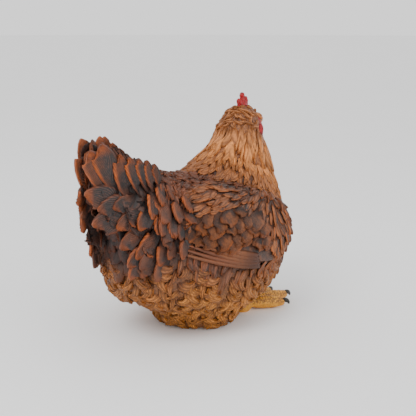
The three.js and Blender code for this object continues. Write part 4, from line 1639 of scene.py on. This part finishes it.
class HEN_OT_face(bpy.types.Operator):
    """Finishes the comb, wattles, earlobes, beak and eyes"""

    bl_idname = "hen.face"
    bl_label = "Face"

    def execute(self, context):
        red, horn = flesh_paint(), horn_paint()
        self.flesh("comb_flesh", "comb", red, 0.0009, 4.0)
        for side, _ in SIDES:
            self.flesh("wattle_flesh_" + side, "wattle_" + side, red, 0.0007, -9.0)
            self.flesh("earlobe_flesh_" + side, "earlobe_" + side, red, 0.0005, -7.0, 0.0016)
        self.beak("upper", horn)
        self.beak("lower", horn)
        outward = unit(middle_of("eye_right") - middle_of("eye_left"))
        rings, faces = [], []
        for side, sign in SIDES:
            middle, axis = middle_of("eye_" + side), -sign * outward
            net = smooth_copy("eyeball_" + side, ["eye_" + side], 3, 0.0002)
            finish_copy(net, "eyeball_" + side, "eyes", eye_paint(middle, axis), "eye_" + side)
            faces += self.lid_faces(len(rings) * LID_ROUND * LID_THICK_ROUND)
            rings.append(self.lid(middle, axis))
        lids = closed_mesh("eyelids", np.concatenate(rings), faces)
        new_piece("eyelids", lids, lid_paint())
        return {"FINISHED"}

    def flesh(self, name, node, material, height, fade, swell=0.0002):
        """fade is how far the darkening reaches, in millimetres: up from the foot, as painted shade where
        the comb meets the head, or down from the top where it is negative, so that the lower end is darker."""
        net = smooth_copy(name, [node], 3, swell)
        lumps(net, LUMP, height)
        z = net.points[:, 2] / MM
        # Painted shade at the comb's foot; the wattles and earlobes are darker towards the lower end.
        if fade > 0:
            wash = ramp(z.min() + fade - z, -fade / 2, fade)
        else:
            wash = 0.8 * ramp(z.max() + fade - z, 0, -fade)
        store(net.mesh, wash=wash)
        finish_copy(net, name, "comb_and_wattles", material, node)

    def beak(self, part, material):
        """One half of the beak. The upper one has a sunken nostril on each side, painted dark as painted
        shade.
        """
        net = smooth_copy("beak_horn_" + part, ["beak_" + part], 3)
        dark = np.zeros(len(net.points))
        if part == "upper":
            low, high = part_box("beak_upper")
            ridge = np.array([low[0], (low[1] + high[1]) / 2, high[2]])
            for _, side in SIDES:
                gap = net.points - ridge - NOSTRIL * [1, side, 1]
                near = 1 - ramp(np.hypot(gap[:, 0] / NOSTRIL_LONG, gap[:, 2] / NOSTRIL_HIGH), 0.6, 1.2)
                dark = np.maximum(dark, near * (gap[:, 1] * side > -0.0022))
            net.points = net.points - net.normals() * (dark * NOSTRIL_DEPTH)[:, None]
        store(net.mesh, wash=dark)
        finish_copy(net, "beak_horn_" + part, "beak", material, "beak_" + part)

    def lid(self, middle, axis):
        """The points of a fold of skin round an eye, heavier above it."""
        sideways = unit(np.cross(axis, [0, 0, 1]))
        upward = np.cross(sideways, axis)
        points = []
        for turn in np.linspace(0, 2 * np.pi, LID_ROUND, endpoint=False):
            away = sideways * math.cos(turn) * 1.08 + upward * math.sin(turn) * 0.92
            thick = LID_THICK + LID_HEAVIER * max(math.sin(turn), 0)
            for part in np.linspace(0, 2 * np.pi, LID_THICK_ROUND, endpoint=False):
                across, out = LID_RADIUS + thick * math.cos(part), LID_OUT + thick * math.sin(part)
                points.append(middle + away * across + axis * out)
        return np.array(points)

    def lid_faces(self, start):
        n, m = LID_ROUND, LID_THICK_ROUND
        around = [(i, (i + 1) % n, j, (j + 1) % m) for i in range(n) for j in range(m)]
        return [
            (start + i * m + j, start + next_i * m + j, start + next_i * m + next_j, start + i * m + next_j)
            for i, next_i, j, next_j in around
        ]


def toe_paint():
    """Ochre plates, darker in the grooves between them: partly a brown wash, partly painted shade."""
    p = Paints("toe_paint")
    grain = p.noise(500, 4)
    base = p.mix(p.fit(p.noise(90), 0.35, 0.65), colours_now("ochre"), mixed("ochre", "rust", 0.3))
    base = p.mix(p.times(p.fit(grain, 0.5, 0.7), 0.35), base, shaded("ochre", 1.5))
    # Painted shade and wash in the grooves between the plates.
    dark = p.times(p.read("groove"), p.fit(grain, 0.3, 0.7, 0.9, 0.6))
    base = p.mix(dark, base, shaded("wash", 0.65))
    return p.finish(base, p.times_plus(grain, 0.25, 0.38), p.bump(grain, 0.0004), **SATIN)


def claw_paint():
    p = Paints("claw_paint")
    grain = p.noise(900)
    base = p.mix(p.fit(grain, 0.35, 0.65), (0.012, 0.011, 0.01), (0.05, 0.042, 0.034))
    return p.finish(base, p.times_plus(grain, 0.2, 0.25), p.bump(grain, 0.0003), **SATIN)


TOE_ROOT = np.array([78.5, 32.0])  # where the left foot's toes meet, along X and Y in millimetres
TOE_HEIGHT = 1.22  # how much higher the painted toes are than the solid ones
PLATE = np.array([3.2, 4.6, 3.4])  # a plate's length along the toe, its width and its height
GROOVE = 0.0007  # how deep the grooves between the plates are


class HEN_OT_feet(bpy.types.Operator):
    """Finishes the toes and claws"""

    bl_idname = "hen.feet"
    bl_label = "Feet"

    def execute(self, context):
        ochre, dark = toe_paint(), claw_paint()
        for name, side in SIDES:
            claws = ["claw_%s_%s" % (name, toe) for toe in ("outer", "middle", "inner")]
            self.toes(name, side, claws, ochre)
            net = smooth_copy("claws_" + name, claws, 2)
            finish_copy(net, "claws_" + name, "claws", dark, *claws)
        return {"FINISHED"}

    def toes(self, name, side, claws, material):
        """A foot with plates carved across its toes. A point belongs to the toe whose line is nearest."""
        net = smooth_copy("toes_" + name, ["foot_" + name], 3, 0.0006, grain=0.0009)
        net.points[:, 2] *= TOE_HEIGHT
        places = net.points / MM
        root = TOE_ROOT * [1, side]
        off_toe = np.full(len(places), np.inf)
        flat = np.zeros((len(places), 3))
        for claw in claws:
            ahead = unit(middle_of(claw)[:2] / MM - root)
            along = (places[:, :2] - root) @ ahead
            across = (places[:, :2] - root) @ np.array([-ahead[1], ahead[0]])
            nearer = np.abs(across) < off_toe
            off_toe[nearer] = np.abs(across)[nearer]
            flat[nearer] = np.stack([along, across, places[:, 2]], 1)[nearer]
        gaps = np.array([noise.voronoi(Vector(place))[0][:2] for place in flat / PLATE])
        groove = 1 - ramp(gaps[:, 1] - gaps[:, 0], 0.02, 0.3)
        normal = net.normals()
        plated = ramp(normal[:, 2], -0.5, 0.35) * ramp(places[:, 2], 1, 4)
        net.points = net.points - normal * (groove * plated * GROOVE)[:, None]
        net.points[:, 2] = np.maximum(net.points[:, 2], 0)
        # How dark the paint is in the grooves, as painted shade and wash, most where the plates are carved.
        store(net.mesh, groove=groove * (0.25 + 0.75 * plated))
        finish_copy(net, "toes_" + name, "toes", material, "foot_" + name)


class HEN_PT_panel(bpy.types.Panel):
    """Lists the steps and settings of the hen"""

    bl_idname = "HEN_PT_panel"
    bl_label = "Sitting hen"
    bl_space_type = "VIEW_3D"
    bl_region_type = "UI"
    bl_category = "Hen"

    def draw(self, context):
        for step in STEPS:
            self.layout.operator(step.bl_idname)
        for settings in (context.scene.hen_sizes, context.scene.hen_colours):
            for name in settings.__annotations__:
                self.layout.prop(settings, name)


STEPS = [
    HEN_OT_stage,
    HEN_OT_skin,
    HEN_OT_body_feathers,
    HEN_OT_hanging_feathers,
    HEN_OT_fluff,
    HEN_OT_hackle,
    HEN_OT_head_tufts,
    HEN_OT_wing_feathers,
    HEN_OT_tail_feathers,
    HEN_OT_face,
    HEN_OT_feet,
]
CLASSES = [HenSizes, HenColours, *STEPS, HEN_PT_panel]


def register():
    for cls in CLASSES:
        bpy.utils.register_class(cls)
    bpy.types.Scene.hen_sizes = PointerProperty(type=HenSizes)
    bpy.types.Scene.hen_colours = PointerProperty(type=HenColours)


def unregister():
    del bpy.types.Scene.hen_sizes
    del bpy.types.Scene.hen_colours
    for cls in reversed(CLASSES):
        bpy.utils.unregister_class(cls)


def main():
    register()
    bpy.ops.hen.stage()
    bpy.ops.hen.skin()
    bpy.ops.hen.body_feathers()
    bpy.ops.hen.hanging_feathers()
    bpy.ops.hen.fluff()
    bpy.ops.hen.hackle()
    bpy.ops.hen.head_tufts()
    bpy.ops.hen.wing_feathers()
    bpy.ops.hen.tail_feathers()
    bpy.ops.hen.face()
    bpy.ops.hen.feet()


if __name__ == "__main__":
    main()
